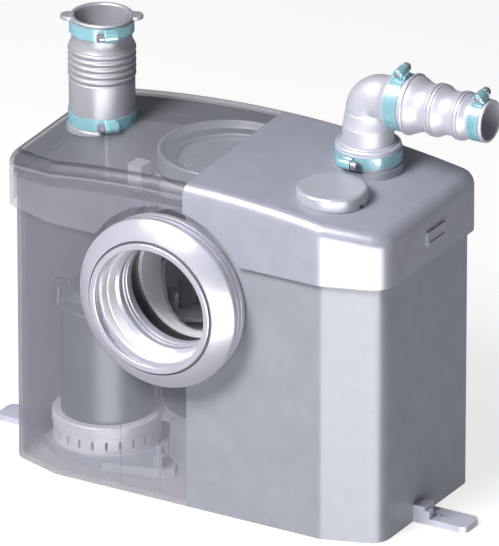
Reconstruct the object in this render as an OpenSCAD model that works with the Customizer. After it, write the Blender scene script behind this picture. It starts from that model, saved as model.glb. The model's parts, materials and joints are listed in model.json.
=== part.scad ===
// Macerator toilet pump: a shallow tank behind the pan, with a cutting drum, a motor and pump,
// a level sensor, a lid with a hose sleeve and a vent, and a swivelling discharge elbow.
// Millimetres. X runs along the front, Y to the back, Z up, from the middle of the underside.

/* [Case] */
// Width of the case between its side walls
case_w = 320; // [312:1:330]
// Depth of the case from front wall to back wall
case_d = 147; // [144:1:156]
// Thickness of the case walls
case_wall = 3; // [2.5:0.1:3.6]
// Thickness of the case floor
floor_t = 3; // [2.5:0.1:4]
// Width of the flat part of the front wall
front_flat_w = 230; // [220:1:240]
// Depth that the slanted front corners fall back
facet_d = 15; // [12:0.5:18]
// Radius where the flat front meets the slanted corners
bend_r = 12; // [8:1:16]
// Radius of the two front side corners
front_r = 16; // [10:1:18]
// Radius of the two back corners
back_r = 7; // [6:1:12]
// Height of the case rim in the middle of its crown
rim_z = 243; // [241:0.5:245]
// Thickness of the two stiffening strips inside the see-through front
strip_t = 1.2; // [0.8:0.1:2]
// Width of each stiffening strip
strip_w = 16.5; // [12:0.5:18]

/* [Lid] */
// Height of the lid's top at the middle of its front edge
lid_z = 263; // [261:0.5:266]
// How far the lid stands out past the case all round
lid_out = 5; // [4.5:0.1:6]
// Thickness of the lid walls and roof
lid_wall = 3; // [2.6:0.1:3.4]
// Height of the lower edge of the lid skirt
skirt_z = 208; // [200:1:214]
// Size of the slope along the lower edge of the skirt
skirt_chamfer = 5; // [3:0.5:6]
// Radius of the lid's top edge
lid_edge_r = 10; // [8:0.5:12]
// Drop of the lid's crown from its middle to its ends
crown_drop = 15; // [12:0.5:17]
// Slope of the lid's roof up towards the back, in degrees
lid_tilt = 2.2; // [1.5:0.1:2.4]
// Height of the soft seal that lies on the case rim
gasket_h = 4; // [3:0.5:5]
// Depth of the rib under the roof that presses on the seal
seat_rib_w = 4; // [3.5:0.1:5]

/* [Feet] */
// Distance from each side wall to its floor screw
screw_out = 20; // [18:0.5:23]
// Width of each floor lug from front to back
lug_w = 23; // [18:1:28]
// Thickness of each floor lug
lug_t = 5; // [4:0.5:7]
// Radius of the floor screw holes
screw_hole_r = 2.75; // [2.2:0.05:3.2]
// How far each lug reaches past its screw
lug_tail = 25; // [20:1:28]
// Height of the block at the root of each lug
lug_block_h = 14; // [11:0.5:18]

/* [Pan connector] */
// Height of the pan connector's middle
inlet_z = 170; // [168:0.5:172]
// Radius of the pan connector's bore at its front lip
inlet_bore_r = 45; // [44:0.25:46]
// Length of the front lip's bore
inlet_lip_l = 5; // [4:0.5:6]
// Radius of the pan connector's widest rim
inlet_rim_r = 67; // [66:0.5:68.5]
// How far the pan connector stands out of the case
inlet_out = 31; // [29:0.5:34]
// Radius of the hole in the case that holds the connector
inlet_hole_r = 50.5; // [50:0.25:52]
// Gap between the widest rim and the notch in the lid skirt
notch_gap = 5; // [4:0.5:5.5]

/* [Cutting drum] */
// Sideways place of the drum, motor and pan connector
drum_x = -14; // [-17:0.5:-11]
// Gap between the drum and the back wall
drum_gap = 2.5; // [1.5:0.1:4.5]
// Outer radius of the drum
drum_r = 54; // [53:0.25:55]
// Thickness of the drum's wall
drum_wall = 3; // [2.5:0.1:3.2]
// Height of the drum's floor
drum_z = 105; // [103:0.5:107]
// Height of the top of the drum's cover
drum_top_z = 257; // [254:0.5:258]
// Depth of the dish in the drum's cover
dish_depth = 10; // [6:0.5:12]
// Radius of the flat disc in the dish
dish_r = 42; // [38:0.5:45]
// Inner radius of the drum's inlet throat
throat_r = 43; // [42:0.25:44]
// Thickness of the basket that lines the drum
basket_t = 2.4; // [1.8:0.1:3]
// Number of slots round the basket
basket_slots = 20; // [16:1:24]
// Radius of the path that the knife tips follow
knife_r = 43; // [40:0.5:44]
// Height that the knife tips turn up to above the knife plate
knife_tip_h = 17; // [12:0.5:20]

/* [Motor and pump] */
// Outer radius of the motor can
motor_r = 50; // [49:0.25:51]
// Height of the motor can's lower edge
motor_z = 52; // [50:0.5:54]
// Thickness of the motor can's wall
can_wall = 2.5; // [2:0.1:3]
// Radius of the motor shaft
shaft_r = 4; // [3.5:0.1:4.5]
// Outer radius of the pump casing
pump_r = 45; // [44:0.25:46]
// Height of the pump casing's floor above the case floor
pump_leg_h = 7; // [5:0.5:8]
// Radius of the impeller
impeller_r = 31; // [28:0.5:33]
// Radius of the pump's intake hole
eye_r = 12; // [10:0.5:14]
// Number of impeller vanes
vanes = 6; // [5:1:8]

/* [Level sensor] */
// Gap between the strainer and the side wall
sensor_gap = 9; // [7:0.5:11]
// Place of the level sensor from front to back
sensor_y = -10; // [-13:0.5:-7]
// Width of the strainer ring round the level sensor's tube
strainer_w = 6; // [5:0.5:7]
// Height of the top of the sensor's cap
sensor_top_z = 135; // [131:0.5:139]
// Height of the strainer at the sensor's foot
strainer_h = 15; // [12:0.5:17]
// Height of the light ring round the sensor's foot
foot_ring_h = 8; // [6:0.5:10]
// Height of the plinth under the sensor
plinth_h = 7; // [5:0.5:8]
// Travel of the switch plunger
plunger_travel = 1.5; // [1:0.1:2]

/* [Waste hose sleeve] */
// Sideways place of the hose sleeve
sleeve_x = -117.6; // [-120:0.2:-115]
// Place of the hose sleeve from front to back
sleeve_y = 2.8; // [0:0.2:6]
// Outer radius of the hose sleeve
sleeve_r = 25; // [24.5:0.1:25.5]
// Height of the hose sleeve above the lid
sleeve_h = 89; // [87:0.5:92]
// Radius of the hose sleeve's bore
sleeve_bore_r = 20; // [19:0.1:20.4]
// Number of ribs round the hose sleeve
sleeve_ribs = 5; // [4:1:5]
// Distance from one rib to the next
sleeve_pitch = 5.1; // [4.6:0.1:5.4]

/* [Discharge] */
// Sideways place of the discharge riser
riser_x = 97; // [94:0.5:99]
// Place of the discharge riser from front to back
riser_y = 29.2; // [28:0.2:31]
// Outer radius of the riser pipe
riser_r = 16; // [15:0.1:16.4]
// Height of the discharge outlet's middle
outlet_z = 318.6; // [317:0.2:321]
// Outer radius of the elbow's pipe
elbow_r = 19.4; // [19:0.1:19.6]
// Thickness of the elbow's rubber wall
elbow_wall = 3; // [2.5:0.1:3.2]
// Radius of the outlet's bore
outlet_bore_r = 14; // [13:0.1:14.4]
// Sideways place of the outlet's end
outlet_x = 201; // [199:0.5:205]
// Radius of the non-return flap
flap_r = 12; // [11:0.1:12.4]

/* [Vent] */
// Sideways place of the vent
vent_x = 100.7; // [98:0.1:103]
// Place of the vent from front to back
vent_y = -31; // [-34:0.1:-31]
// Outer radius of the vent cap
vent_r = 26.9; // [25.5:0.1:26.9]
// Height of the vent cap's top above the lid
vent_h = 8.4; // [7:0.1:11]

/* [Hose clamps] */
// Thickness of the clamp bands
band_t = 0.8; // [0.6:0.1:1]
// Radius of the worm screw housings
worm_housing_r = 4.2; // [4:0.1:4.2]
// Length of the worm screw housings
worm_housing_l = 11; // [9:0.5:12]
// Radius of the worm screws
worm_r = 2.4; // [2.2:0.05:2.5]
// Radius of the worm screw heads
worm_head_r = 3.4; // [3:0.1:3.5]
// Length of the worm screw heads
worm_head_l = 5; // [4:0.5:6]

/* [Clearances] */
// Gap between a moving piece and what it seats on
seat_gap = 0.3; // [0.2:0.05:0.5]
// Radial gap of a shaft that turns in a hole
run_gap = 0.08; // [0.04:0.01:0.1]
// Gap between a soft ring and what it lies round
soft_gap = 0.1; // [0.05:0.05:0.2]

/* [Hidden] */
$fn = 64;

// A length past everything, for cuts
far = 600;
// A small step past a face, so that a cut goes through it
nip = 1;

half_w = case_w / 2;
half_d = case_d / 2;
facet_a = atan2(facet_d, half_w - front_flat_w / 2);
edge_angles = [-90, -90 + facet_a, 0, 90, 180, 270 - facet_a, 270];
plan_corners = [
    [front_flat_w / 2, -half_d, bend_r],
    [half_w, -half_d + facet_d, front_r],
    [half_w, half_d, back_r],
    [-half_w, half_d, back_r],
    [-half_w, -half_d + facet_d, front_r],
    [-front_flat_w / 2, -half_d, bend_r]];
lid_half_w = half_w + lid_out;
lid_half_d = half_d + lid_out;
crown_r = (lid_half_w * lid_half_w + crown_drop * crown_drop) / (2 * crown_drop);

// The drum lies against the back wall, and the level sensor fills the room to its left
drum_y = half_d - case_wall - drum_r - drum_gap;
strainer_r = (drum_x - drum_r + half_w - case_wall - 7) / 2;
sensor_r = strainer_r - strainer_w;
sensor_x = strainer_r + sensor_gap + case_wall - half_w;

inlet_x = drum_x;
wall_y = -half_d;
inlet_front_y = wall_y - inlet_out;
notch_r = inlet_rim_r + notch_gap;

// Heights of the drum, from its floor up
drum_floor_t = 4;
drum_in_r = drum_r - drum_wall;
cover_h = 13;
cover_z = drum_top_z - cover_h;
seal_t = 2;
drum_wall_top = cover_z - seal_t;
throat_t = 3;
throat_front_y = drum_y - drum_r - 2;
basket_r = drum_in_r - seat_gap;
basket_in_r = basket_r - basket_t;
basket_z = drum_z + drum_floor_t + seat_gap;
basket_top = inlet_z - 6;

// Heights of the motor and the pump
motor_top_t = 4;
motor_in_r = motor_r - can_wall;
pump_z = floor_t + pump_leg_h;
pump_floor_t = 4;
pump_wall = 6;
pump_chamber_z = pump_z + pump_floor_t;
pump_chamber_h = 20;
cover_plate_z = pump_chamber_z + pump_chamber_h;
bearing_r = 11;
bearing_h = 7;
seal_r = 9;
seal_h = 6;
low_bearing_z = motor_z + 2;
high_bearing_z = drum_z - motor_top_t - bearing_h;
stator_z = motor_z + 16;
stator_h = 24;
stator_in_r = 23;
rotor_r = stator_in_r - 0.6;
winding_h = 6;
knife_z = basket_z + 8;
knife_t = 3;
hub_r = 8;

// Heights of the level sensor
plinth_top = floor_t + plinth_h;
ring_z = plinth_top + strainer_h;
tube_z = ring_z + 1;
cap_h = 15;
cap_z = sensor_top_z - cap_h;
sensor_wall = 2.5;
switch_z = cap_z + 5;

// Places on the lid
function crown_fall(x) = crown_r - sqrt(crown_r * crown_r - x * x);
function lid_top(x, y) = lid_z + tan(lid_tilt) * (y + lid_half_d) - crown_fall(x);
sleeve_z = lid_top(sleeve_x, sleeve_y);
riser_z = lid_top(riser_x, riser_y);
vent_z = lid_top(vent_x, vent_y);

// The collar and the elbow
collar_r = 26.4;
collar_top = riser_z + 3.4;
spigot_gap = 0.6;
spigot_in_r = riser_r + spigot_gap;
spigot_r = spigot_in_r + 2.6;
spigot_top = collar_top + 12;
cuff_r = spigot_r + 5.6;
riser_top = spigot_top - 2;
pipe_in_r = elbow_r - elbow_wall;
bend_mid_r = elbow_r + 1.4;
bend_x = riser_x + bend_mid_r;
seat_z = spigot_top + 1;
seat_t = 3;
flap_hinge_x = riser_x - flap_r - 1;
flap_z = seat_z + seat_t + seat_gap;
socket_x = bend_x + 1;
socket_r = 21.2;
adapter_x = socket_x + 15.5;

// Clamp sizes: place of the axis, inner radius, width of the band
clamp_step = worm_r + 1.2;
sleeve_band_w = 9.5;
low_band_z = sleeve_z + 3.4;
ear_z = sleeve_h - 3.4;
high_band_z = sleeve_z + ear_z - soft_gap - sleeve_band_w;
neck_r = sleeve_r - 2.2;
upper_r = sleeve_r - 1.4;
collar_band_w = 9;
collar_band_z = max(collar_top + 1.2,
    vent_z + vent_h + seat_gap + worm_housing_r - collar_band_w / 2);
cuff_top = max(collar_band_z + collar_band_w + 2, seat_z + 2.6);
elbow_band_x = socket_x + 2;
elbow_band_w = 11;
outlet_r = outlet_bore_r + 1.6;
outlet_band_w = 9;
outlet_band_x = outlet_x - 3 - outlet_band_w;

// Colours
clear_grey = [0.62, 0.64, 0.68, 0.45];
shell_grey = [0.70, 0.72, 0.77];
lid_grey = [0.66, 0.67, 0.73];
rubber_white = [0.88, 0.88, 0.94];
sleeve_grey = [0.68, 0.68, 0.72];
elbow_grey = [0.80, 0.80, 0.87];
dark_grey = [0.42, 0.45, 0.50];
mid_grey = [0.58, 0.60, 0.65];
steel = [0.75, 0.76, 0.78];
cyan_blue = [0.55, 0.77, 0.83];
copper = [0.72, 0.45, 0.25];
black = [0.12, 0.12, 0.14];

// The plan outline of the case, grown by g all round
function side_dir(a) = [cos(a), sin(a)];
function corner_r(i, g) = max(plan_corners[i][2] + g, 0.6);
function corner_mid(i, g) =
    let (n = side_dir(edge_angles[i]), m = side_dir(edge_angles[i + 1]))
    [plan_corners[i][0], plan_corners[i][1]]
        - (n + m) * (corner_r(i, g) - g) / (1 + n * m);

module plan(g) {
    polygon([for (i = [0 : 5]) for (k = [0 : 1])
        corner_mid(i, g) + corner_r(i, g) * side_dir(edge_angles[i + k])]);
    for (i = [0 : 5])
        translate(corner_mid(i, g)) circle(r = corner_r(i, g));
}

// Everything below the crown that passes through height z at the front of the lid.
// The crown is made of flat strips 10 mm wide.
module crown_below(z, tilt) {
    translate([0, -lid_half_d, z])
        rotate([tilt, 0, 0])
            rotate([90, 0, 0])
                linear_extrude(height = far, center = true)
                    polygon(concat(
                        [for (x = [-200 : 10 : 200]) [x, -crown_fall(x)]],
                        [[200, -300], [-200, -300]]));
}

// The left half of space for side -1, the right half for side 1
module half_space(side) {
    translate([side > 0 ? 0 : -far, -far / 2, -far / 2])
        cube([far, far, far + far]);
}

// A round tube standing on the XY plane
module tube(outer, inner, h) {
    difference() {
        cylinder(r = outer, h = h);
        translate([0, 0, -nip])
            cylinder(r = inner, h = h + 2 * nip);
    }
}

// A round rod from point a to point b
module rod(a, b, r) {
    d = b - a;
    l = norm(d);
    translate(a)
        rotate([0, acos(d[2] / l), atan2(d[1], d[0])])
            cylinder(r = r, h = l);
}

// A rod that follows a list of points, with round bends
module bent_rod(path, r) {
    for (i = [0 : len(path) - 2])
        rod(path[i], path[i + 1], r);
    for (i = [1 : len(path) - 2])
        translate(path[i]) sphere(r = r + 0.15);
}

// Turns a profile of radius and height into a ring round the Z axis
module spun(points) {
    rotate_extrude() polygon(points);
}

// The case: a deep tank with a crowned rim, and holes for the pan connector and the gland
module case_body() {
    difference() {
        intersection() {
            linear_extrude(height = rim_z + nip) plan(0);
            crown_below(rim_z, 0);
        }
        translate([0, 0, floor_t])
            linear_extrude(height = rim_z) plan(-case_wall);
        translate([inlet_x, wall_y - nip, inlet_z])
            rotate([-90, 0, 0])
                cylinder(r = inlet_hole_r, h = case_wall + 2 * nip);
        translate([gland_x, half_d + nip, gland_z])
            rotate([90, 0, 0])
                cylinder(r = gland_hole_r, h = case_wall + 2 * nip);
    }
}

// Two thin strips inside the see-through front, up to the pan connector's flange
module front_strips() {
    for (x = [-76, -41.5])
        translate([x, wall_y + case_wall, floor_t])
            cube([strip_w, strip_t, 90]);
}

module case_window() {
    color(clear_grey) {
        intersection() {
            case_body();
            half_space(-1);
        }
        front_strips();
    }
}

module case_shell() {
    color(shell_grey)
        intersection() {
            case_body();
            half_space(1);
        }
}

// One floor lug, seen from the case wall outwards along X
module lug() {
    reach = screw_out + lug_tail;
    difference() {
        union() {
            translate([0, -lug_w / 2, 0]) cube([reach - lug_w / 4, lug_w, lug_t]);
            translate([reach - lug_w / 4, -lug_w / 4, 0]) cylinder(r = lug_w / 4, h = lug_t);
            translate([reach - lug_w / 4, lug_w / 4, 0]) cylinder(r = lug_w / 4, h = lug_t);
            translate([reach - lug_w / 4 - nip, -lug_w / 4, 0])
                cube([lug_w / 4 + nip, lug_w / 2, lug_t]);
            translate([0, -lug_w / 2, 0]) cube([10, lug_w * 0.62, lug_block_h]);
            translate([0, -lug_w / 2, 0]) cube([14, lug_w * 0.3, lug_block_h - 3]);
        }
        translate([screw_out, 0, -nip])
            cylinder(r = screw_hole_r, h = lug_t + 2 * nip);
    }
}

module floor_lugs() {
    color(shell_grey) {
        translate([half_w, 0, 0]) lug();
        mirror([1, 0, 0]) translate([half_w, 0, 0]) lug();
    }
}

// The rubber connector that takes the pan's outlet: a cone, three ribs, a neck in the
// case wall, a flange behind the wall and lip seals inside. Heights run from its front.
module pan_sleeve() {
    neck_r = inlet_hole_r - soft_gap;
    back = inlet_out;
    lip = inlet_bore_r;
    rim = inlet_rim_r;
    cone_h = 12;
    rib = (back - seat_gap - cone_h - 0.6) / 3;
    groove_r = rim - 2.2;
    rib_points = [for (i = [0 : 2]) each [
        [rim - 0.5 * i, cone_h + rib * i + 0.6],
        [rim - 0.5 * i, cone_h + rib * (i + 1) - 0.9],
        [groove_r, cone_h + rib * (i + 1) - 0.9],
        [groove_r, cone_h + rib * (i + 1) + (i < 2 ? 0.6 : 0)]]];
    color(rubber_white)
        translate([inlet_x, inlet_front_y, inlet_z])
            rotate([-90, 0, 0])
                spun(concat(
                    [[lip, 0], [lip + 4.5, 0], [rim - 0.8, cone_h - 0.4]],
                    rib_points,
                    [[groove_r, back - seat_gap], [neck_r, back - seat_gap],
                     [neck_r, back + case_wall + seat_gap],
                     [neck_r + 5, back + case_wall + seat_gap],
                     [neck_r + 5, back + case_wall + 4],
                     [neck_r, back + case_wall + 6],
                     [neck_r - 4, back + case_wall + 11],
                     [lip - 3.5, back + case_wall + 11],
                     [lip - 3.5, back + case_wall + 8],
                     [lip - 1.5, back + case_wall + 7], [lip - 1.5, back + 7],
                     [lip - 3, back + 6], [lip - 3, back + 3],
                     [lip - 1, back + 2], [lip - 1, back - 5],
                     [lip - 2, back - 6], [lip - 2, back - 14],
                     [lip + 1, back - 15], [lip + 1, back - 21],
                     [lip + 5, back - 22], [lip + 5, inlet_lip_l + 1],
                     [lip, inlet_lip_l]]));
}

// The drum that the pan empties into, with a throat towards the pan connector
module grinder_drum() {
    port_w = 9;
    port_h = 16;
    color(mid_grey)
        difference() {
            union() {
                translate([drum_x, drum_y, drum_z])
                    cylinder(r = drum_r, h = drum_wall_top - drum_z);
                translate([inlet_x, throat_front_y, inlet_z])
                    rotate([-90, 0, 0])
                        cylinder(r = throat_r + throat_t, h = drum_y - throat_front_y);
            }
            translate([drum_x, drum_y, drum_z + drum_floor_t])
                cylinder(r = drum_in_r, h = far);
            translate([inlet_x, throat_front_y - nip, inlet_z])
                rotate([-90, 0, 0])
                    cylinder(r = throat_r, h = drum_y - throat_front_y + nip);
            translate([drum_x, drum_y, drum_z - nip])
                cylinder(r = seal_r, h = drum_floor_t + 2 * nip);
            translate([drum_x, drum_y, drum_z + drum_floor_t + 2])
                for (a = [20 : 28 : 160])
                    rotate([0, 0, a])
                        translate([drum_in_r - 4, -port_w / 2, 0])
                            cube([12, port_w, port_h]);
        }
}

// The slotted steel basket that the knives sweep
module cutting_basket() {
    slot_w = 4;
    slot_h = 22;
    floor_h = 1.5;
    color(steel)
        difference() {
            translate([drum_x, drum_y, basket_z])
                cylinder(r = basket_r, h = basket_top - basket_z);
            translate([drum_x, drum_y, basket_z + floor_h])
                cylinder(r = basket_in_r, h = far);
            translate([drum_x, drum_y, basket_z - nip])
                cylinder(r = hub_r + 3, h = floor_h + 2 * nip);
            translate([inlet_x, drum_y, inlet_z])
                rotate([90, 0, 0])
                    cylinder(r = throat_r, h = far);
            translate([drum_x, drum_y, basket_z + floor_h + 2])
                for (i = [0 : basket_slots - 1])
                    rotate([0, 0, 360 / basket_slots * (i + 0.5)])
                        if (abs(360 / basket_slots * (i + 0.5) - 270) > 40)
                            translate([basket_in_r - 3, -slot_w / 2, 0])
                                cube([8, slot_w, slot_h]);
        }
}

module drum_cover() {
    rim_w = 2.6;
    plug_h = 6;
    plug_t = 3;
    floor_z = cover_h - dish_depth;
    plug_r = drum_in_r - seat_gap;
    color(mid_grey)
        translate([drum_x, drum_y, cover_z])
            spun([[0, 0], [0, floor_z], [dish_r, floor_z], [dish_r + 1.2, floor_z + 1.2],
                [drum_r - rim_w - 4, cover_h - 4.5], [drum_r - rim_w - 2.4, cover_h - 4.5],
                [drum_r - rim_w, cover_h], [drum_r - 0.8, cover_h],
                [drum_r, cover_h - 0.8], [drum_r, 0], [plug_r, 0],
                [plug_r, -plug_h], [plug_r - plug_t, -plug_h], [plug_r - plug_t, 0]]);
}

module drum_seal() {
    color(black)
        translate([drum_x, drum_y, drum_wall_top])
            tube(drum_r, drum_in_r, seal_t);
}

// The sealed can round the motor, with the upper bearing's pocket in its top
module motor_can() {
    color(dark_grey)
        translate([drum_x, drum_y, 0])
            difference() {
                translate([0, 0, motor_z])
                    cylinder(r = motor_r, h = drum_z - motor_z);
                translate([0, 0, motor_z - nip])
                    cylinder(r = motor_in_r, h = high_bearing_z - 2 - motor_z + nip);
                translate([0, 0, high_bearing_z - 2 - nip])
                    tube(motor_in_r, bearing_r + 3, drum_z - motor_top_t - high_bearing_z + 2 + nip);
                translate([0, 0, high_bearing_z - 2 - nip])
                    cylinder(r = bearing_r, h = bearing_h + 2 + nip);
                translate([0, 0, high_bearing_z])
                    cylinder(r = shaft_r + 2, h = far);
            }
}

// The plate between pump and motor, with the lower bearing and a shaft seal in it
module pump_cover() {
    color(mid_grey)
        translate([drum_x, drum_y, 0])
            difference() {
                union() {
                    translate([0, 0, cover_plate_z])
                        cylinder(r = pump_r, h = motor_z - cover_plate_z);
                    translate([0, 0, motor_z])
                        cylinder(r = motor_in_r - soft_gap, h = 3);
                    translate([0, 0, motor_z])
                        cylinder(r = bearing_r + 3, h = low_bearing_z - motor_z + bearing_h);
                    translate([0, 0, motor_z - 3])
                        cylinder(r = motor_r, h = 3);
                }
                translate([0, 0, low_bearing_z])
                    cylinder(r = bearing_r, h = far);
                translate([0, 0, cover_plate_z - nip])
                    cylinder(r = seal_r, h = seal_h + nip);
                cylinder(r = shaft_r + 2, h = far);
            }
}

// The pump casing: three legs, an intake from below and an outlet stub to the side
module pump_volute() {
    leg_r = 5;
    stub_y = riser_y - drum_y;
    color(shell_grey)
        translate([drum_x, drum_y, 0])
            difference() {
                union() {
                    translate([0, 0, pump_z])
                        cylinder(r = pump_r, h = cover_plate_z - pump_z);
                    for (a = [30, 150, 270])
                        rotate([0, 0, a])
                            translate([pump_r - leg_r - 2, 0, floor_t])
                                cylinder(r = leg_r, h = pump_leg_h + nip);
                    translate([0, stub_y, pump_mid_z])
                        rotate([0, 90, 0])
                            cylinder(r = stub_r, h = stub_l);
                }
                translate([0, 0, pump_chamber_z])
                    cylinder(r = pump_r - pump_wall, h = far);
                translate([0, 0, pump_z - nip])
                    cylinder(r = eye_r, h = far);
                translate([0, stub_y, pump_mid_z])
                    rotate([0, 90, 0])
                        cylinder(r = stub_bore_r, h = stub_l + nip);
            }
}
pump_mid_z = pump_chamber_z + pump_chamber_h / 2;
stub_bore_r = 8;
stub_r = 9.6;
stub_l = pump_r + 12;

module stator_core() {
    color(steel)
        translate([drum_x, drum_y, stator_z])
            difference() {
                cylinder(r = motor_in_r - soft_gap, h = stator_h);
                translate([0, 0, -nip])
                    cylinder(r = stator_in_r, h = stator_h + 2 * nip);
            }
}

module stator_windings() {
    color(copper)
        translate([drum_x, drum_y, 0])
            for (z = [stator_z - winding_h, stator_z + stator_h])
                translate([0, 0, z])
                    tube(motor_in_r - 5, stator_in_r + 3, winding_h);
}

module bearings() {
    color(steel)
        translate([drum_x, drum_y, 0])
            for (z = [low_bearing_z, high_bearing_z])
                translate([0, 0, z])
                    tube(bearing_r, shaft_r + run_gap, bearing_h);
}

module shaft_seals() {
    color(black)
        translate([drum_x, drum_y, 0])
            for (z = [cover_plate_z, drum_z])
                translate([0, 0, z])
                    tube(seal_r, shaft_r + run_gap, z == drum_z ? drum_floor_t : seal_h);
}

// The turning parts: shaft, rotor, impeller and knives
shaft_low_z = pump_chamber_z + 3;
shaft_top_z = knife_z + knife_t + 7;

module motor_shaft() {
    color(steel)
        translate([drum_x, drum_y, shaft_low_z])
            cylinder(r = shaft_r, h = shaft_top_z - shaft_low_z);
}

module rotor_core() {
    color(steel)
        translate([drum_x, drum_y, stator_z])
            tube(rotor_r, shaft_r, stator_h);
}

module impeller() {
    disc_t = 3;
    vane_h = 9;
    vane_t = 2.4;
    color(mid_grey)
        translate([drum_x, drum_y, shaft_low_z])
            difference() {
                union() {
                    translate([0, 0, vane_h]) cylinder(r = impeller_r, h = disc_t);
                    cylinder(r = hub_r, h = vane_h + nip);
                    for (i = [0 : vanes - 1])
                        rotate([0, 0, 360 / vanes * i])
                            translate([hub_r - 2, -vane_t / 2, 0])
                                cube([impeller_r - hub_r + 1, vane_t, vane_h + nip]);
                }
                translate([0, 0, -nip])
                    cylinder(r = shaft_r, h = vane_h + disc_t + 2 * nip);
            }
}

module knife_rotor() {
    blade_w = 15;
    tip_t = 3;
    color(steel)
        translate([drum_x, drum_y, knife_z])
            difference() {
                intersection() {
                    union() {
                        translate([0, 0, -5]) cylinder(r = hub_r, h = knife_t + 10);
                        for (a = [28, 118, 208, 298])
                            rotate([0, 0, a]) {
                                translate([0, -blade_w / 2, 0]) cube([knife_r, blade_w, knife_t]);
                                translate([knife_r - tip_t - 2, -blade_w / 2, 0])
                                    cube([tip_t, blade_w * 0.7, knife_tip_h]);
                            }
                    }
                    translate([0, 0, -10]) cylinder(r = knife_r, h = 60);
                }
                translate([0, 0, -10]) cylinder(r = shaft_r, h = 60);
            }
}

// The pressure pipe from the pump's outlet stub up into the lid's collar
module riser_pipe() {
    sweep_r = 26;
    wall = 3;
    start_x = drum_x + stub_l - 10;
    color(mid_grey)
        difference() {
            union() {
                translate([riser_x, riser_y, pump_mid_z + sweep_r])
                    cylinder(r = riser_r, h = riser_top - pump_mid_z - sweep_r);
                translate([riser_x - sweep_r, riser_y, pump_mid_z + sweep_r])
                    rotate([-90, 0, 0])
                        rotate_extrude(angle = 90)
                            translate([sweep_r, 0]) circle(r = riser_r - 2);
                translate([start_x, riser_y, pump_mid_z])
                    rotate([0, 90, 0])
                        cylinder(r = riser_r - 2, h = riser_x - sweep_r - start_x);
            }
            translate([riser_x, riser_y, pump_mid_z + sweep_r - 0.01])
                cylinder(r = riser_r - wall, h = far);
            translate([riser_x - sweep_r, riser_y, pump_mid_z + sweep_r])
                rotate([-90, 0, 0])
                    rotate_extrude(angle = 90)
                        translate([sweep_r, 0]) circle(r = stub_r + soft_gap);
            translate([start_x - nip, riser_y, pump_mid_z])
                rotate([0, 90, 0])
                    cylinder(r = stub_r + soft_gap, h = riser_x - sweep_r - start_x + nip + 0.01);
        }
}

// The plinth that carries the level sensor, cut away round the pump. Its points run from
// the sensor's axis.
module chamber_plinth() {
    left = -strainer_r;
    right = drum_x - 32 - sensor_x;
    color(mid_grey)
        difference() {
            translate([sensor_x, sensor_y, 0]) {
                translate([0, 0, floor_t])
                    linear_extrude(height = plinth_h)
                        polygon([[left, -26], [left + 20, -40], [23, -47], [right + 9, -35],
                            [right + 15, -28], [right, 18], [right - 32, 42], [left, 38]]);
                translate([right, -34, plinth_top]) cube([7, 12, 9]);
                translate([right, -30, plinth_top]) cube([4, 6, 16]);
            }
            translate([drum_x, drum_y, 0])
                cylinder(r = pump_r + 2, h = far);
        }
}

module strainer_ring() {
    slots = 24;
    color(mid_grey)
        translate([sensor_x, sensor_y, plinth_top])
            difference() {
                tube(strainer_r, sensor_r - 1, strainer_h);
                for (i = [0 : slots - 1])
                    rotate([0, 0, 360 / slots * i])
                        translate([0, -1, 4]) cube([strainer_r + 5, 2, strainer_h - 8]);
            }
}

module chamber_foot_ring() {
    color(rubber_white)
        translate([sensor_x, sensor_y, ring_z])
            spun([[sensor_r + soft_gap, 0], [sensor_r + 7, 0], [sensor_r + 7, foot_ring_h - 1],
                [sensor_r + 6, foot_ring_h], [sensor_r + soft_gap, foot_ring_h]]);
}

module level_chamber() {
    color(dark_grey)
        translate([sensor_x, sensor_y, tube_z])
            tube(sensor_r, sensor_r - sensor_wall, cap_z - tube_z);
}

// The cap on the sensor's tube, with the switch inside and a small bent stub outside
module chamber_cap() {
    stub = 4;
    color(dark_grey)
        translate([sensor_x, sensor_y, cap_z])
            difference() {
                union() {
                    spun([[0, 0], [0, cap_h], [sensor_r - 8, cap_h], [sensor_r - 1.6, cap_h - 5],
                        [sensor_r - 0.8, cap_h - 7], [sensor_r - 0.8, 1],
                        [sensor_r + 0.6, 0]]);
                    bent_rod([[-sensor_r + 3, 0, 6], [-sensor_r - 7, 0, 6],
                        [-sensor_r - 7, 0, -10]], stub);
                }
                translate([0, 0, -nip])
                    cylinder(r = sensor_r - 5, h = cap_h - 2.5 + nip);
            }
}

module diaphragm() {
    color(black)
        translate([sensor_x, sensor_y, cap_z])
            tube(sensor_r - 5, 12, 1.5);
}

module switch_plunger() {
    color(rubber_white)
        translate([sensor_x, sensor_y, cap_z]) {
            cylinder(r = 11, h = 2);
            cylinder(r = 2, h = switch_z - cap_z + 1.5);
        }
}

module microswitch() {
    color(black)
        translate([sensor_x, sensor_y, switch_z])
            difference() {
                translate([-10, -5, 0]) cube([20, 10, cap_h - 2.5 - (switch_z - cap_z)]);
                translate([0, 0, -nip])
                    cylinder(r = 2 + run_gap, h = plunger_travel + 1.5 + seat_gap + nip);
            }
}

// The stiff tube that carries the switch leads up to a bracket beside the drum
bracket_gap = 16.1;
bracket_a = -132.11;
bracket_x = drum_x + (drum_r + bracket_gap) * cos(bracket_a);
bracket_y = drum_y + (drum_r + bracket_gap) * sin(bracket_a);
bracket_z = drum_top_z - 21;

module sensor_conduit() {
    color(mid_grey)
        bent_rod([[sensor_x + 12, sensor_y, sensor_top_z], [sensor_x + 12, sensor_y, 170],
            [bracket_x, bracket_y, bracket_z - 14], [bracket_x, bracket_y, bracket_z]], 5.5);
}

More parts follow.
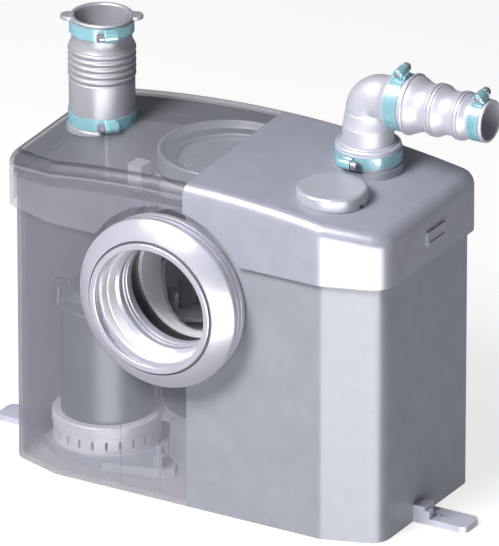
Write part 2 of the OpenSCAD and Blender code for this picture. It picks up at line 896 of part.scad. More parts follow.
module conduit_bracket() {
    color(rubber_white)
        difference() {
            union() {
                translate([bracket_x - 6, bracket_y - 7, bracket_z]) cube([12, 14, 18]);
                rod([bracket_x, bracket_y, bracket_z + 3],
                    [drum_x - 0.62 * drum_r, drum_y - 0.62 * drum_r, bracket_z + 3], 2.5);
            }
            translate([drum_x, drum_y, 0]) cylinder(r = drum_r + soft_gap, h = far);
        }
}

// The dry box in the back corner for the capacitor and the terminals
box_w = 28;
box_gap = 11;
box_x = half_w - case_wall - box_gap - box_w;
box_y = 26;
box_z = 130;
box_h = 80;
box_wall = 2.4;
box_d = half_d - case_wall - soft_gap - box_y;
gland_x = box_x + box_w / 2;
gland_z = box_z + box_h - 18;
gland_hole_r = 8;

module electrics_box() {
    color(dark_grey)
        difference() {
            translate([box_x, box_y, box_z]) cube([box_w, box_d, box_h]);
            translate([box_x + box_wall, box_y + box_wall, box_z + box_wall])
                cube([box_w - 2 * box_wall, box_d - 2 * box_wall, box_h]);
            translate([gland_x, half_d, gland_z])
                rotate([90, 0, 0]) cylinder(r = gland_hole_r, h = 12);
            translate([gland_x, box_y + 12, box_z - nip])
                cylinder(r = 4, h = box_wall + 2 * nip);
        }
}

module electrics_cover() {
    color(dark_grey)
        translate([box_x, box_y, box_z + box_h]) cube([box_w, box_d, box_wall]);
}

module capacitor() {
    color(steel)
        translate([gland_x, box_y + box_d - 16, box_z + box_wall])
            cylinder(r = 10, h = 44);
}

module terminal_block() {
    color(rubber_white)
        difference() {
            translate([box_x + box_wall, box_y + box_wall, box_z + 44])
                cube([box_w - 2 * box_wall, 11, 13]);
            for (i = [0 : 2])
                translate([box_x + 6.5 + 7.5 * i, box_y + 8, box_z + 50])
                    cylinder(r = 1.8, h = 20);
        }
}

module motor_lead() {
    color(black)
        bent_rod([[gland_x, box_y + 12, box_z + box_wall], [gland_x, box_y + 12, 112],
            [gland_x - 14, -10, 96], [drum_x + motor_r + 28, -10, 90],
            [drum_x + motor_r - 1, drum_y - 6, motor_z + 32]], 3.2);
}

module cable_gland() {
    color(black)
        translate([gland_x, half_d, gland_z])
            rotate([90, 0, 0])
                difference() {
                    union() {
                        translate([0, 0, -10]) cylinder(r = 8.5, h = 6);
                        translate([0, 0, -4]) cylinder(r = 11, h = 4 - soft_gap, $fn = 6);
                        translate([0, 0, -5])
                            cylinder(r = gland_hole_r - soft_gap, h = case_wall + box_wall + 9);
                    }
                    translate([0, 0, -11]) cylinder(r = 4.5, h = 40);
                }
}

module lid_gasket() {
    color(black)
        difference() {
            intersection() {
                linear_extrude(height = rim_z + gasket_h + nip) plan(0);
                crown_below(rim_z + gasket_h, 0);
            }
            translate([0, 0, -nip])
                linear_extrude(height = rim_z + gasket_h + 3 * nip) plan(-case_wall);
            crown_below(rim_z, 0);
        }
}

// The lid as a shell of rings: from the middle of the inner roof out to the rib that presses
// on the soft seal, down and up round it, down the inner wall, round the lower edge, up the
// outer wall and back to the middle of the outer roof.
arc_steps = [1, 4, 4, 4, 4, 1];
edge_parts = [1, 2, 9, 2, 1, 7];
fan_x = 7;

function outline(g) = [for (i = [0 : 5]) each concat(
    [for (k = [0 : arc_steps[i]])
        let (a = edge_angles[i] + (edge_angles[i + 1] - edge_angles[i]) * k / arc_steps[i])
        corner_mid(i, g) + corner_r(i, g) * side_dir(a)],
    let (j = (i + 1) % 6,
        from = corner_mid(i, g) + corner_r(i, g) * side_dir(edge_angles[i + 1]),
        to = corner_mid(j, g) + corner_r(j, g) * side_dir(edge_angles[i + 1]))
    [for (k = [1 : 1 : edge_parts[i] - 1]) from + (to - from) * k / edge_parts[i]])];

function flat_ring(g, z) = [for (p = outline(g)) [p[0], p[1], z]];
function roof_ring(g, s, sink) = [for (p = outline(g))
    let (x = fan_x + (p[0] - fan_x) * s, y = p[1] * s) [x, y, lid_top(x, y) - sink]];
function edge_ring(g, r, a, sink) = [for (p = outline(g - r * (1 - cos(a))))
    [p[0], p[1], lid_top(p[0], p[1]) - sink - r * (1 - sin(a))]];

function rib_ring(g) = [for (p = outline(g))
    [p[0], p[1], rim_z + gasket_h + seat_gap - crown_fall(p[0])]];

inner_g = lid_out - lid_wall;
inner_r = lid_edge_r - lid_wall;
rib_a = acos(1 - min(inner_g / inner_r, 1));
lid_rings = [
    roof_ring(-seat_rib_w, 0.4, lid_wall),
    roof_ring(-seat_rib_w, 0.72, lid_wall),
    roof_ring(-seat_rib_w, 1, lid_wall),
    rib_ring(-seat_rib_w),
    rib_ring(0),
    edge_ring(inner_g, inner_r, rib_a, lid_wall),
    edge_ring(inner_g, inner_r, 0, lid_wall),
    flat_ring(inner_g, skirt_z),
    flat_ring(lid_out - skirt_chamfer + inner_g + 0.2, skirt_z),
    flat_ring(lid_out, skirt_z + skirt_chamfer),
    edge_ring(lid_out, lid_edge_r, 0, 0),
    edge_ring(lid_out, lid_edge_r, 30, 0),
    edge_ring(lid_out, lid_edge_r, 60, 0),
    edge_ring(lid_out, lid_edge_r, 90, 0),
    roof_ring(lid_out - lid_edge_r, 0.72, 0),
    roof_ring(lid_out - lid_edge_r, 0.4, 0)];
ring_n = len(lid_rings[0]);
ring_count = len(lid_rings);
lid_points = concat([for (r = lid_rings) each r],
    [[fan_x, 0, lid_top(fan_x, 0) - lid_wall], [fan_x, 0, lid_top(fan_x, 0)]]);
lid_faces = concat(
    [for (r = [0 : ring_count - 2]) for (i = [0 : ring_n - 1])
        let (j = (i + 1) % ring_n, a = r * ring_n, b = a + ring_n)
        each [[a + i, b + i, b + j], [a + i, b + j, a + j]]],
    [for (i = [0 : ring_n - 1]) [ring_n * ring_count, i, (i + 1) % ring_n]],
    [for (i = [0 : ring_n - 1])
        let (a = ring_n * (ring_count - 1))
        [ring_n * ring_count + 1, a + (i + 1) % ring_n, a + i]]);

spigot_wall = 2.8;
sleeve_spigot_r = sleeve_bore_r;
sleeve_spigot_h = 30;

module lid_body() {
    difference() {
        union() {
            polyhedron(points = lid_points, faces = lid_faces, convexity = 6);
            translate([sleeve_x, sleeve_y, sleeve_z - lid_wall])
                cylinder(r = sleeve_spigot_r, h = sleeve_spigot_h + lid_wall);
            translate([riser_x, riser_y, riser_z - lid_wall - 2])
                cylinder(r = collar_r, h = collar_top - riser_z + lid_wall + 2);
            translate([riser_x, riser_y, riser_z])
                cylinder(r = spigot_r, h = spigot_top - riser_z);
        }
        translate([inlet_x, -lid_half_d - nip, inlet_z])
            rotate([-90, 0, 0])
                cylinder(r = notch_r, h = lid_out + nip + 3);
        translate([sleeve_x, sleeve_y, sleeve_z - 20])
            cylinder(r = sleeve_spigot_r - spigot_wall, h = far);
        translate([riser_x, riser_y, riser_z - 20])
            cylinder(r = spigot_in_r, h = far);
        translate([vent_x, vent_y, vent_z - 20])
            cylinder(r = vent_hole_r, h = far);
    }
}
vent_hole_r = 15;

module lid_window() {
    color(clear_grey)
        intersection() {
            lid_body();
            half_space(-1);
        }
}

module lid_shell() {
    color(lid_grey)
        intersection() {
            lid_body();
            half_space(1);
        }
}

// The small snap tabs in the ends of the lid skirt
module lid_latches() {
    color(lid_grey)
        for (side = [-1, 1])
            translate([side * lid_half_w, 10, skirt_z + 19.5])
                difference() {
                    translate([side > 0 ? 0 : -2, -13.5, -5.5]) cube([2, 27, 11]);
                    translate([side > 0 ? 1.2 : -3.2, -11, -3]) cube([2, 22, 6]);
                }
}

// The soft sleeve for the waste hose, with ribs, a neck and two ears at the rim.
// Heights run from the lid.
module waste_sleeve() {
    bore = sleeve_bore_r;
    foot_in = sleeve_spigot_r + soft_gap;
    rib_z = 39;
    rib_points = [for (i = [0 : sleeve_ribs - 1]) each [
        [sleeve_r - 0.9, rib_z + sleeve_pitch * i],
        [sleeve_r - 0.9, rib_z + sleeve_pitch * i + 1.2],
        [sleeve_r + 0.8, rib_z + sleeve_pitch * i + 2.4],
        [sleeve_r + 0.8, rib_z + sleeve_pitch * i + 4]]];
    ear_tip = 31.2;
    ear_w = 13;
    color(sleeve_grey)
        difference() {
            translate([sleeve_x, sleeve_y, sleeve_z])
                union() {
                    spun(concat(
                        [[foot_in, -10], [sleeve_r + 2, -10], [sleeve_r + 2, 2],
                         [sleeve_r + 0.6, 3.2], [sleeve_r, 3.3], [sleeve_r, rib_z - 0.5]],
                        rib_points,
                        [[sleeve_r - 1, rib_z + sleeve_pitch * sleeve_ribs],
                         [neck_r, 67], [neck_r, 76], [upper_r, 76.4],
                         [upper_r, sleeve_h - 2.6], [sleeve_r - 0.6, sleeve_h - 2],
                         [sleeve_r - 0.6, sleeve_h - 0.8], [sleeve_r - 1.6, sleeve_h],
                         [bore + 1, sleeve_h], [bore, sleeve_h - 1.2],
                         [bore, sleeve_spigot_h + 2], [foot_in, sleeve_spigot_h + 1]]));
                    rotate([0, 0, atan2(0.504, 0.863)])
                        difference() {
                            union() {
                                for (side = [-1, 1])
                                    translate([side * (ear_tip - ear_w / 2), 0, ear_z])
                                        cylinder(r = ear_w / 2, h = 3);
                                translate([-ear_tip + ear_w / 2, -ear_w / 2, ear_z])
                                    cube([2 * ear_tip - ear_w, ear_w, 3]);
                            }
                            translate([0, 0, sleeve_h - 10])
                                cylinder(r = bore + 1, h = 20);
                        }
                }
            crown_below(lid_z + soft_gap, lid_tilt);
        }
}

// A hose clamp round the Z axis: a thin band and the housing of its worm screw,
// which lies at angle a, with the screw's head on the side that way points to
module clamp_ring(r, w, a, way) {
    difference() {
        union() {
            cylinder(r = r + band_t, h = w);
            rotate([0, 0, a])
                translate([r + clamp_step, -way * worm_housing_l / 2, w / 2])
                    rotate([-90 * way, 0, 0])
                        cylinder(r = worm_housing_r, h = worm_housing_l);
        }
        translate([0, 0, -nip]) cylinder(r = r, h = w + 2 * nip);
        rotate([0, 0, a])
            translate([r + clamp_step, -way * (worm_housing_l / 2 + nip), w / 2])
                rotate([-90 * way, 0, 0])
                    cylinder(r = worm_r + run_gap, h = worm_housing_l + 2 * nip);
    }
}

module clamp_screw(r, w, a, way) {
    slot_w = 1.2;
    rotate([0, 0, a])
        translate([r + clamp_step, -way * worm_housing_l / 2, w / 2])
            rotate([-90 * way, 0, 0])
                difference() {
                    union() {
                        cylinder(r = worm_r, h = worm_housing_l + 1);
                        translate([0, 0, worm_housing_l + seat_gap])
                            cylinder(r = worm_head_r, h = worm_head_l);
                    }
                    translate([-slot_w / 2, -10, worm_housing_l + seat_gap + worm_head_l - 1.6])
                        cube([slot_w, 20, 5]);
                }
}

low_clamp_a = -45;
collar_clamp_a = -96;
outlet_clamp_a = 8;

module at_sleeve_low() {
    translate([sleeve_x, sleeve_y, low_band_z]) children();
}
module at_sleeve_high() {
    translate([sleeve_x, sleeve_y, high_band_z]) children();
}
module at_collar() {
    translate([riser_x, riser_y, collar_band_z]) children();
}
// Turns the Z axis to lie along X, at the height of the outlet
module at_outlet(x) {
    translate([x, riser_y, outlet_z]) rotate([0, 90, 0]) rotate([0, 0, 180]) children();
}

module sleeve_clamp_low() {
    color(cyan_blue) at_sleeve_low()
        clamp_ring(sleeve_r + soft_gap, sleeve_band_w, low_clamp_a, -1);
}
module sleeve_screw_low() {
    color(steel) at_sleeve_low()
        clamp_screw(sleeve_r + soft_gap, sleeve_band_w, low_clamp_a, -1);
}
module sleeve_clamp_high() {
    color(cyan_blue) at_sleeve_high()
        clamp_ring(upper_r + soft_gap, sleeve_band_w, low_clamp_a, -1);
}
module sleeve_screw_high() {
    color(steel) at_sleeve_high()
        clamp_screw(upper_r + soft_gap, sleeve_band_w, low_clamp_a, -1);
}
module collar_clamp() {
    color(cyan_blue) at_collar()
        clamp_ring(cuff_r + soft_gap, collar_band_w, collar_clamp_a, 1);
}
module collar_screw() {
    color(steel) at_collar()
        clamp_screw(cuff_r + soft_gap, collar_band_w, collar_clamp_a, 1);
}
module elbow_clamp() {
    color(cyan_blue) at_outlet(elbow_band_x)
        clamp_ring(socket_r + soft_gap, elbow_band_w, outlet_clamp_a, -1);
}
module elbow_screw() {
    color(steel) at_outlet(elbow_band_x)
        clamp_screw(socket_r + soft_gap, elbow_band_w, outlet_clamp_a, -1);
}
module outlet_clamp() {
    color(cyan_blue) at_outlet(outlet_band_x)
        clamp_ring(outlet_r + soft_gap, outlet_band_w, outlet_clamp_a, -1);
}
module outlet_screw() {
    color(steel) at_outlet(outlet_band_x)
        clamp_screw(outlet_r + soft_gap, outlet_band_w, outlet_clamp_a, -1);
}

// The charcoal disc under the vent cap
module vent_filter() {
    color(black)
        translate([vent_x, vent_y, vent_z - lid_wall + 0.5])
            cylinder(r = vent_hole_r - soft_gap, h = 4);
}

module vent_cap() {
    edge = 2.6;
    color(shell_grey)
        difference() {
            translate([vent_x, vent_y, vent_z])
                difference() {
                    spun([[0, -8], [vent_r, -8], [vent_r, vent_h - edge],
                        [vent_r - edge * 0.3, vent_h - edge * 0.3],
                        [vent_r - edge, vent_h], [0, vent_h]]);
                    translate([0, 0, -20])
                        cylinder(r = vent_hole_r + 2, h = 20 + vent_h - 3);
                    rotate([0, 0, -38])
                        translate([10, -5, -8]) cube([30, 10, 5.4]);
                }
            crown_below(lid_z + seat_gap, lid_tilt);
        }
}

// A pipe that rises from a height, turns through a quarter circle and runs to place x
module elbow_path(r, low, x) {
    drop = outlet_z - bend_mid_r;
    translate([bend_x, riser_y, drop])
        rotate([90, 0, 0])
            rotate([0, 0, 90])
                rotate_extrude(angle = 90)
                    translate([bend_mid_r, 0]) circle(r = r);
    translate([riser_x, riser_y, drop])
        mirror([0, 0, 1])
            rotate([0, 0, 90])
                cylinder(r = r, h = drop - low);
    translate([bend_x, riser_y, outlet_z])
        rotate([0, 90, 0])
            cylinder(r = r, h = x - bend_x);
}

// The rubber elbow that fits over the lid's collar and turns on it
module discharge_elbow() {
    foot_in = spigot_r + seat_gap;
    foot_z = collar_top + seat_gap;
    end_x = adapter_x - seat_gap;
    color(elbow_grey)
        difference() {
            union() {
                translate([riser_x, riser_y, 0])
                    spun([[0, foot_z], [cuff_r, foot_z], [cuff_r, cuff_top - 1],
                        [cuff_r - 1, cuff_top], [elbow_r + 2.4, cuff_top],
                        [elbow_r, cuff_top + 1], [0, cuff_top + 1]]);
                elbow_path(elbow_r, cuff_top, end_x);
                translate([socket_x, riser_y, outlet_z])
                    rotate([0, 90, 0])
                        cylinder(r = socket_r, h = end_x - socket_x);
            }
            translate([riser_x, riser_y, collar_top])
                cylinder(r = foot_in, h = seat_z - collar_top);
            elbow_path(pipe_in_r, seat_z - nip, end_x + nip);
        }
}

// The ring that the non-return flap closes on
module valve_seat() {
    seat_bore_r = flap_r - 2;
    color(mid_grey)
        difference() {
            union() {
                translate([riser_x, riser_y, seat_z])
                    cylinder(r = pipe_in_r - soft_gap, h = seat_t);
            }
            translate([riser_x, riser_y, seat_z - nip])
                cylinder(r = seat_bore_r, h = seat_t + 2 * nip);
        }
}

module valve_flap() {
    color(black)
        translate([riser_x, riser_y, flap_z]) {
            cylinder(r = flap_r, h = 1.8);
            translate([flap_hinge_x - riser_x, -4, 0]) cube([4, 8, 1.8]);
        }
}

// The stepped rubber adapter on the elbow's outlet, cut to suit the discharge pipe
module outlet_adapter() {
    x0 = adapter_x;
    span = outlet_x - x0;
    tail = outlet_x - 6;
    color(elbow_grey)
        at_outlet(0)
            spun([[outlet_bore_r, x0 - 8], [pipe_in_r - soft_gap, x0 - 8],
                [pipe_in_r - soft_gap, x0], [socket_r + 1.6, x0], [socket_r + 2.3, x0 + 1],
                [socket_r + 2.3, x0 + 3], [socket_r - 1, x0 + span * 0.12],
                [socket_r - 2.9, x0 + span * 0.19], [socket_r - 3, x0 + span * 0.25],
                [socket_r - 1.6, x0 + span * 0.32], [socket_r - 1, x0 + span * 0.33],
                [socket_r - 1, x0 + span * 0.39], [socket_r - 2, x0 + span * 0.4],
                [socket_r - 4.2, x0 + span * 0.47], [socket_r - 4.7, x0 + span * 0.53],
                [socket_r - 4.2, x0 + span * 0.58], [socket_r - 2.8, x0 + span * 0.64],
                [socket_r - 2.6, x0 + span * 0.65], [socket_r - 2.6, x0 + span * 0.71],
                [socket_r - 3.4, x0 + span * 0.72], [outlet_r, x0 + span * 0.77],
                [outlet_r, outlet_x - 3], [outlet_r + 0.7, outlet_x - 2.5],
                [outlet_r + 0.7, outlet_x - 0.6], [outlet_r, outlet_x],
                [outlet_bore_r, outlet_x]]);
}

case_window();
case_shell();
floor_lugs();
pan_sleeve();
grinder_drum();
cutting_basket();
drum_cover();
drum_seal();
motor_can();
pump_cover();
pump_volute();
stator_core();
stator_windings();
bearings();
shaft_seals();
riser_pipe();
chamber_plinth();
strainer_ring();
chamber_foot_ring();
level_chamber();
chamber_cap();
diaphragm();
microswitch();
switch_plunger();
sensor_conduit();
conduit_bracket();
electrics_box();
electrics_cover();
capacitor();
terminal_block();
motor_lead();
cable_gland();
lid_gasket();
motor_shaft();
rotor_core();
impeller();
knife_rotor();
lid_window();
lid_shell();
lid_latches();
waste_sleeve();
sleeve_clamp_low();
sleeve_clamp_high();
vent_filter();
vent_cap();
discharge_elbow();
valve_seat();
valve_flap();
outlet_adapter();
collar_clamp();
elbow_clamp();
outlet_clamp();
sleeve_screw_low();
sleeve_screw_high();
collar_screw();
elbow_screw();
outlet_screw();
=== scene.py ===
import json
import math

import bpy
from mathutils import Matrix, Vector


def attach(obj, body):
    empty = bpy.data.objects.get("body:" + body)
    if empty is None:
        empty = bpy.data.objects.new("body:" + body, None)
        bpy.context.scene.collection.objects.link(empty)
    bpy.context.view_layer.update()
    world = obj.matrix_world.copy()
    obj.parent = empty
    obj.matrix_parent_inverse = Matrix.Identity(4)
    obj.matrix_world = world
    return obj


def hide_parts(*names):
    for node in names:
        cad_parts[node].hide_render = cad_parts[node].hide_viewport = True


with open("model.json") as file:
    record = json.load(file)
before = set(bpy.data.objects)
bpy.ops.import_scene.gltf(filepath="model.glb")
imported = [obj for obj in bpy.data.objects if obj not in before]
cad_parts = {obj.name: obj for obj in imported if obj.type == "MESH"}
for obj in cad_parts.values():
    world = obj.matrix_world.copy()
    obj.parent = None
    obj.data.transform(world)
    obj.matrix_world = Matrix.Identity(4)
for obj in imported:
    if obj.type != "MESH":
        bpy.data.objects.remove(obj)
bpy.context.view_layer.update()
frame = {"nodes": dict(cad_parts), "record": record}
nodes = frame["nodes"]
mm = 0.001


# The camera stands where the photograph was taken from: to the right of the front and a
# little above, far enough off that the sides stay nearly parallel.
camera_way = Vector((0.4616, -0.7900, 0.4035)).normalized()
camera_aim = Vector((11.87, 0.0, 165.6)) * mm
camera_far = 9.0
view_height = 408.4 * mm
sensor_width = 36.0
bpy.ops.object.select_all(action="DESELECT")
bpy.ops.object.camera_add(location=camera_aim + camera_way * camera_far)
camera = bpy.context.object
camera.name = "photo_camera"
camera.rotation_euler = camera_way.to_track_quat("Z", "Y").to_euler()
camera.data.sensor_width = sensor_width
camera.data.lens = sensor_width * camera_far / view_height
camera.data.clip_end = 60.0
bpy.context.scene.camera = camera


# The studio: a plain pale floor, a soft key light high in front, an even pale sky, and two wide
# lights that only gloss. Upright walls mirror the low one, and rounded top edges the high one.
def soft_light(name, way, far, width, height, power, tint):
    bpy.ops.object.light_add(type="AREA", location=camera_aim + Vector(way).normalized() * far)
    light = bpy.context.object
    light.name = name
    light.rotation_euler = Vector(way).to_track_quat("Z", "Y").to_euler()
    light.data.shape = "RECTANGLE"
    light.data.size, light.data.size_y = width, height
    light.data.energy = power
    light.data.color = tint
    light.visible_camera = False
    return light


soft_light("key_light", (-0.14, -0.69, 0.707), 2.2, 0.8, 0.8, 60.0, (1.0, 0.99, 0.99))
for name, way, far, width, height, power in (
        ("low_gloss_light", (0.57, -0.76, -0.28), 1.1, 1.5, 0.8, 84.0),
        ("high_gloss_light", (-0.20, -0.46, 0.865), 1.3, 1.1, 0.55, 80.0)):
    gloss_light = soft_light(name, way, far, width, height, power, (0.98, 0.98, 1.0))
    gloss_light.visible_diffuse = False

sky = bpy.data.worlds.new("pale_sky")
bpy.context.scene.world = sky
sky.use_nodes = True
sky.node_tree.nodes["Background"].inputs["Color"].default_value = (0.93, 0.94, 1.0, 1.0)
sky.node_tree.nodes["Background"].inputs["Strength"].default_value = 0.15
bpy.context.scene.view_settings.view_transform = "Standard"

bpy.ops.mesh.primitive_plane_add(size=16.0, location=(0.0, 0.0, 0.0))
floor = bpy.context.object
floor.name = "pale_floor"
floor_finish = bpy.data.materials.new("pale_floor")
floor_finish.use_nodes = True
floor_shader = floor_finish.node_tree.nodes["Principled BSDF"]
floor_shader.inputs["Base Color"].default_value = (0.3, 0.3, 0.3, 1.0)
floor_shader.inputs["Roughness"].default_value = 0.9
floor_shader.inputs["Emission Color"].default_value = (1.0, 1.0, 1.0, 1.0)
floor_shader.inputs["Emission Strength"].default_value = 0.74
floor.data.materials.append(floor_finish)
floor.visible_glossy = False
floor.visible_shadow = False


# The case: one deep tank moulded in satin grey plastic, whose left half is clear so that the
# works show. Its finish is a faint mottle and a fine grain, as moulded plastic has.
def moulded(name, colour, rough, mottle=0.05, grain=0.02, scale=60.0, clear=1.0, coat=0.0,
            shine=0.5):
    finish = bpy.data.materials.new(name)
    finish.use_nodes = True
    tree = finish.node_tree
    shader = tree.nodes["Principled BSDF"]
    place = tree.nodes.new("ShaderNodeTexCoord")
    cloud = tree.nodes.new("ShaderNodeTexNoise")
    cloud.inputs["Scale"].default_value = scale
    cloud.inputs["Detail"].default_value = 3.0
    tree.links.new(place.outputs["Object"], cloud.inputs["Vector"])
    ramp = tree.nodes.new("ShaderNodeValToRGB")
    dark_stop, pale_stop = ramp.color_ramp.elements
    dark_stop.position, pale_stop.position = 0.3, 0.7
    dark_stop.color = tuple(c * (1.0 - mottle) for c in colour) + (1.0,)
    pale_stop.color = tuple(min(c * (1.0 + mottle), 1.0) for c in colour) + (1.0,)
    tree.links.new(cloud.outputs["Fac"], ramp.inputs["Fac"])
    tree.links.new(ramp.outputs["Color"], shader.inputs["Base Color"])
    speck = tree.nodes.new("ShaderNodeTexNoise")
    speck.inputs["Scale"].default_value = 1400.0
    speck.inputs["Detail"].default_value = 2.0
    tree.links.new(place.outputs["Object"], speck.inputs["Vector"])
    bump = tree.nodes.new("ShaderNodeBump")
    bump.inputs["Strength"].default_value = grain
    bump.inputs["Distance"].default_value = 0.2 * mm
    tree.links.new(speck.outputs["Fac"], bump.inputs["Height"])
    tree.links.new(bump.outputs["Normal"], shader.inputs["Normal"])
    wear = tree.nodes.new("ShaderNodeMapRange")
    wear.inputs["To Min"].default_value = rough - 0.04
    wear.inputs["To Max"].default_value = rough + 0.06
    tree.links.new(cloud.outputs["Fac"], wear.inputs["Value"])
    tree.links.new(wear.outputs["Result"], shader.inputs["Roughness"])
    shader.inputs["Coat Weight"].default_value = coat
    shader.inputs["Specular IOR Level"].default_value = shine
    if clear < 1.0:
        shader.inputs["Alpha"].default_value = clear
    return finish


def finish_node(node, finish):
    nodes[node].data.materials.clear()
    nodes[node].data.materials.append(finish)


case_grey = moulded("case_grey", (0.29, 0.305, 0.345), 0.34, shine=0.2)
case_clear = moulded("case_clear", (0.325, 0.33, 0.385), 0.18, mottle=0.02, grain=0.0, clear=0.3)
# The clear half is thinnest to look through at its front, and dense at its end and its back.
clear_tree = case_clear.node_tree
clear_place = clear_tree.nodes.new("ShaderNodeSeparateXYZ")
clear_tree.links.new(clear_tree.nodes["Texture Coordinate"].outputs["Object"],
                     clear_place.inputs["Vector"])
densest = clear_tree.nodes.new("ShaderNodeMath")
densest.operation = "MAXIMUM"
front_density, back_density = 0.24, 0.74
for i, (axis, thin_at, dense_at) in enumerate((
        ("X", -144.0 * mm, -157.0 * mm), ("Y", 50.0 * mm, 70.0 * mm))):
    density = clear_tree.nodes.new("ShaderNodeMapRange")
    density.inputs["From Min"].default_value = thin_at
    density.inputs["From Max"].default_value = dense_at
    density.inputs["To Min"].default_value = front_density
    density.inputs["To Max"].default_value = back_density
    clear_tree.links.new(clear_place.outputs[axis], density.inputs["Value"])
    clear_tree.links.new(density.outputs["Result"], densest.inputs[i])
clear_tree.links.new(densest.outputs["Value"],
                     clear_tree.nodes["Principled BSDF"].inputs["Alpha"])
foot_grey = moulded("foot_grey", (0.50, 0.51, 0.60), 0.4)
finish_node("case_shell", case_grey)
finish_node("case_window", case_clear)
finish_node("floor_lugs", foot_grey)


# The lid: a crowned cap with a round top edge that drops over the case's rim. It is moulded
# in two halves, one clear and one grey, with an arch cut for the pan connector.
quarter = math.pi / 2
lid_front, lid_half_width = 78.5 * mm, 165.0 * mm
lid_flat = 115.8 * mm
lid_low, lid_height = 208.0 * mm, 263.0 * mm
lid_wall, lid_round = 3.0 * mm, 10.0 * mm
bend_round, front_round, back_round = 17.0 * mm, 18.0 * mm, 12.0 * mm
rim_drop = 19.5 * mm
crown_round = 915.0 * mm
lid_slope = math.tan(math.radians(2.2))
facet_bend = math.atan(1 / 3)


def lid_top(x, y):
    fall = crown_round - math.sqrt(crown_round ** 2 - x * x)
    return lid_height + lid_slope * (y + lid_front) - fall


def rim_line(x):
    # The height of the case's rim, which follows the lid's crown.
    return lid_top(x, -lid_front) - rim_drop


def pick(piece, test, kind="EDGE"):
    # Selects in edit mode the edges or faces whose every corner passes the test.
    bpy.ops.object.mode_set(mode="EDIT")
    bpy.ops.mesh.select_mode(type=kind)
    bpy.ops.mesh.select_all(action="DESELECT")
    bpy.ops.object.mode_set(mode="OBJECT")
    points = piece.data.vertices
    for part in piece.data.edges if kind == "EDGE" else piece.data.polygons:
        part.select = all(test(points[i].co) for i in part.vertices)
    bpy.ops.object.mode_set(mode="EDIT")


def lid_block(inset, low):
    # A solid block with the lid's outline, drawn in by the inset, and a crowned round top.
    half_width, front = lid_half_width - inset, lid_front - inset
    flat = lid_flat - inset * math.tan(facet_bend / 2)
    shoulder = (half_width - flat) * math.tan(facet_bend) - front
    corners = [(flat, -front), (half_width, shoulder), (half_width, front),
               (-half_width, front), (-half_width, shoulder), (-flat, -front)]
    bpy.ops.object.select_all(action="DESELECT")
    bpy.ops.mesh.primitive_circle_add(vertices=6, radius=lid_half_width, fill_type="NGON")
    block = bpy.context.object
    for corner, (x, y) in zip(block.data.vertices, corners):
        corner.co = (x, y, low)
    bpy.ops.object.mode_set(mode="EDIT")
    bpy.ops.mesh.select_all(action="SELECT")
    rim_level, roof_level, slack = 0.25, 0.30, 0.01
    for rise in (rim_level - low, roof_level - rim_level):
        bpy.ops.mesh.extrude_region_move(TRANSFORM_OT_translate={"value": (0.0, 0.0, rise)})
    # Each upright corner: where it lies, its radius, and how far the wall turns there.
    for x_low, x_high, y_low, y_high, radius, bend in (
            (0.10, 0.12, -0.09, -0.07, bend_round, facet_bend),
            (0.15, 0.17, -0.07, -0.05, front_round, quarter - facet_bend),
            (0.15, 0.17, 0.07, 0.09, back_round, quarter)):
        for side in (-1.0, 1.0):
            pick(block, lambda p: x_low <= side * p.x <= x_high and y_low <= p.y <= y_high)
            bpy.ops.mesh.bevel(offset=(radius - inset) * math.tan(bend / 2), segments=10)
    # Slices across the width let the flat block take the crown's curve.
    for i in range(-14, 15):
        bpy.ops.mesh.select_all(action="SELECT")
        bpy.ops.mesh.bisect(plane_co=(i * 10.0 * mm, 0.0, 0.0), plane_no=(1.0, 0.0, 0.0))
    bpy.ops.object.mode_set(mode="OBJECT")
    for point in block.data.vertices:
        if point.co.z > roof_level - slack:
            point.co.z = lid_top(point.co.x, point.co.y) - inset
        elif point.co.z > rim_level - slack:
            point.co.z = rim_line(point.co.x)
    # The edges to round are those that a wall and the roof share.
    wall_edges, roof_edges = set(), set()
    for face in block.data.polygons:
        if abs(face.normal.z) < 0.2:
            wall_edges.update(face.edge_keys)
        if face.normal.z > 0.8:
            roof_edges.update(face.edge_keys)
    bpy.ops.object.mode_set(mode="EDIT")
    bpy.ops.mesh.select_mode(type="EDGE")
    bpy.ops.mesh.select_all(action="DESELECT")
    bpy.ops.object.mode_set(mode="OBJECT")
    for edge in block.data.edges:
        edge.select = edge.key in wall_edges and edge.key in roof_edges
    bpy.ops.object.mode_set(mode="EDIT")
    bpy.ops.mesh.bevel(offset=lid_round - inset, segments=8)
    bpy.ops.mesh.select_all(action="SELECT")
    bpy.ops.mesh.normals_make_consistent(inside=False)
    bpy.ops.object.mode_set(mode="OBJECT")
    return block


def cut(piece, tool, how="DIFFERENCE"):
    # Cuts the tool away from the piece, or joins it on, and removes the tool.
    bpy.ops.object.select_all(action="DESELECT")
    piece.select_set(True)
    bpy.context.view_layer.objects.active = piece
    knife = piece.modifiers.new("knife", "BOOLEAN")
    knife.operation, knife.object, knife.solver = how, tool, "EXACT"
    bpy.ops.object.modifier_apply(modifier="knife")
    bpy.data.objects.remove(tool)


def round_tool(radius, depth, location, rotation=(0.0, 0.0, 0.0), sides=96):
    bpy.ops.object.select_all(action="DESELECT")
    bpy.ops.mesh.primitive_cylinder_add(
        vertices=sides, radius=radius, depth=depth, location=location, rotation=rotation)
    return bpy.context.object


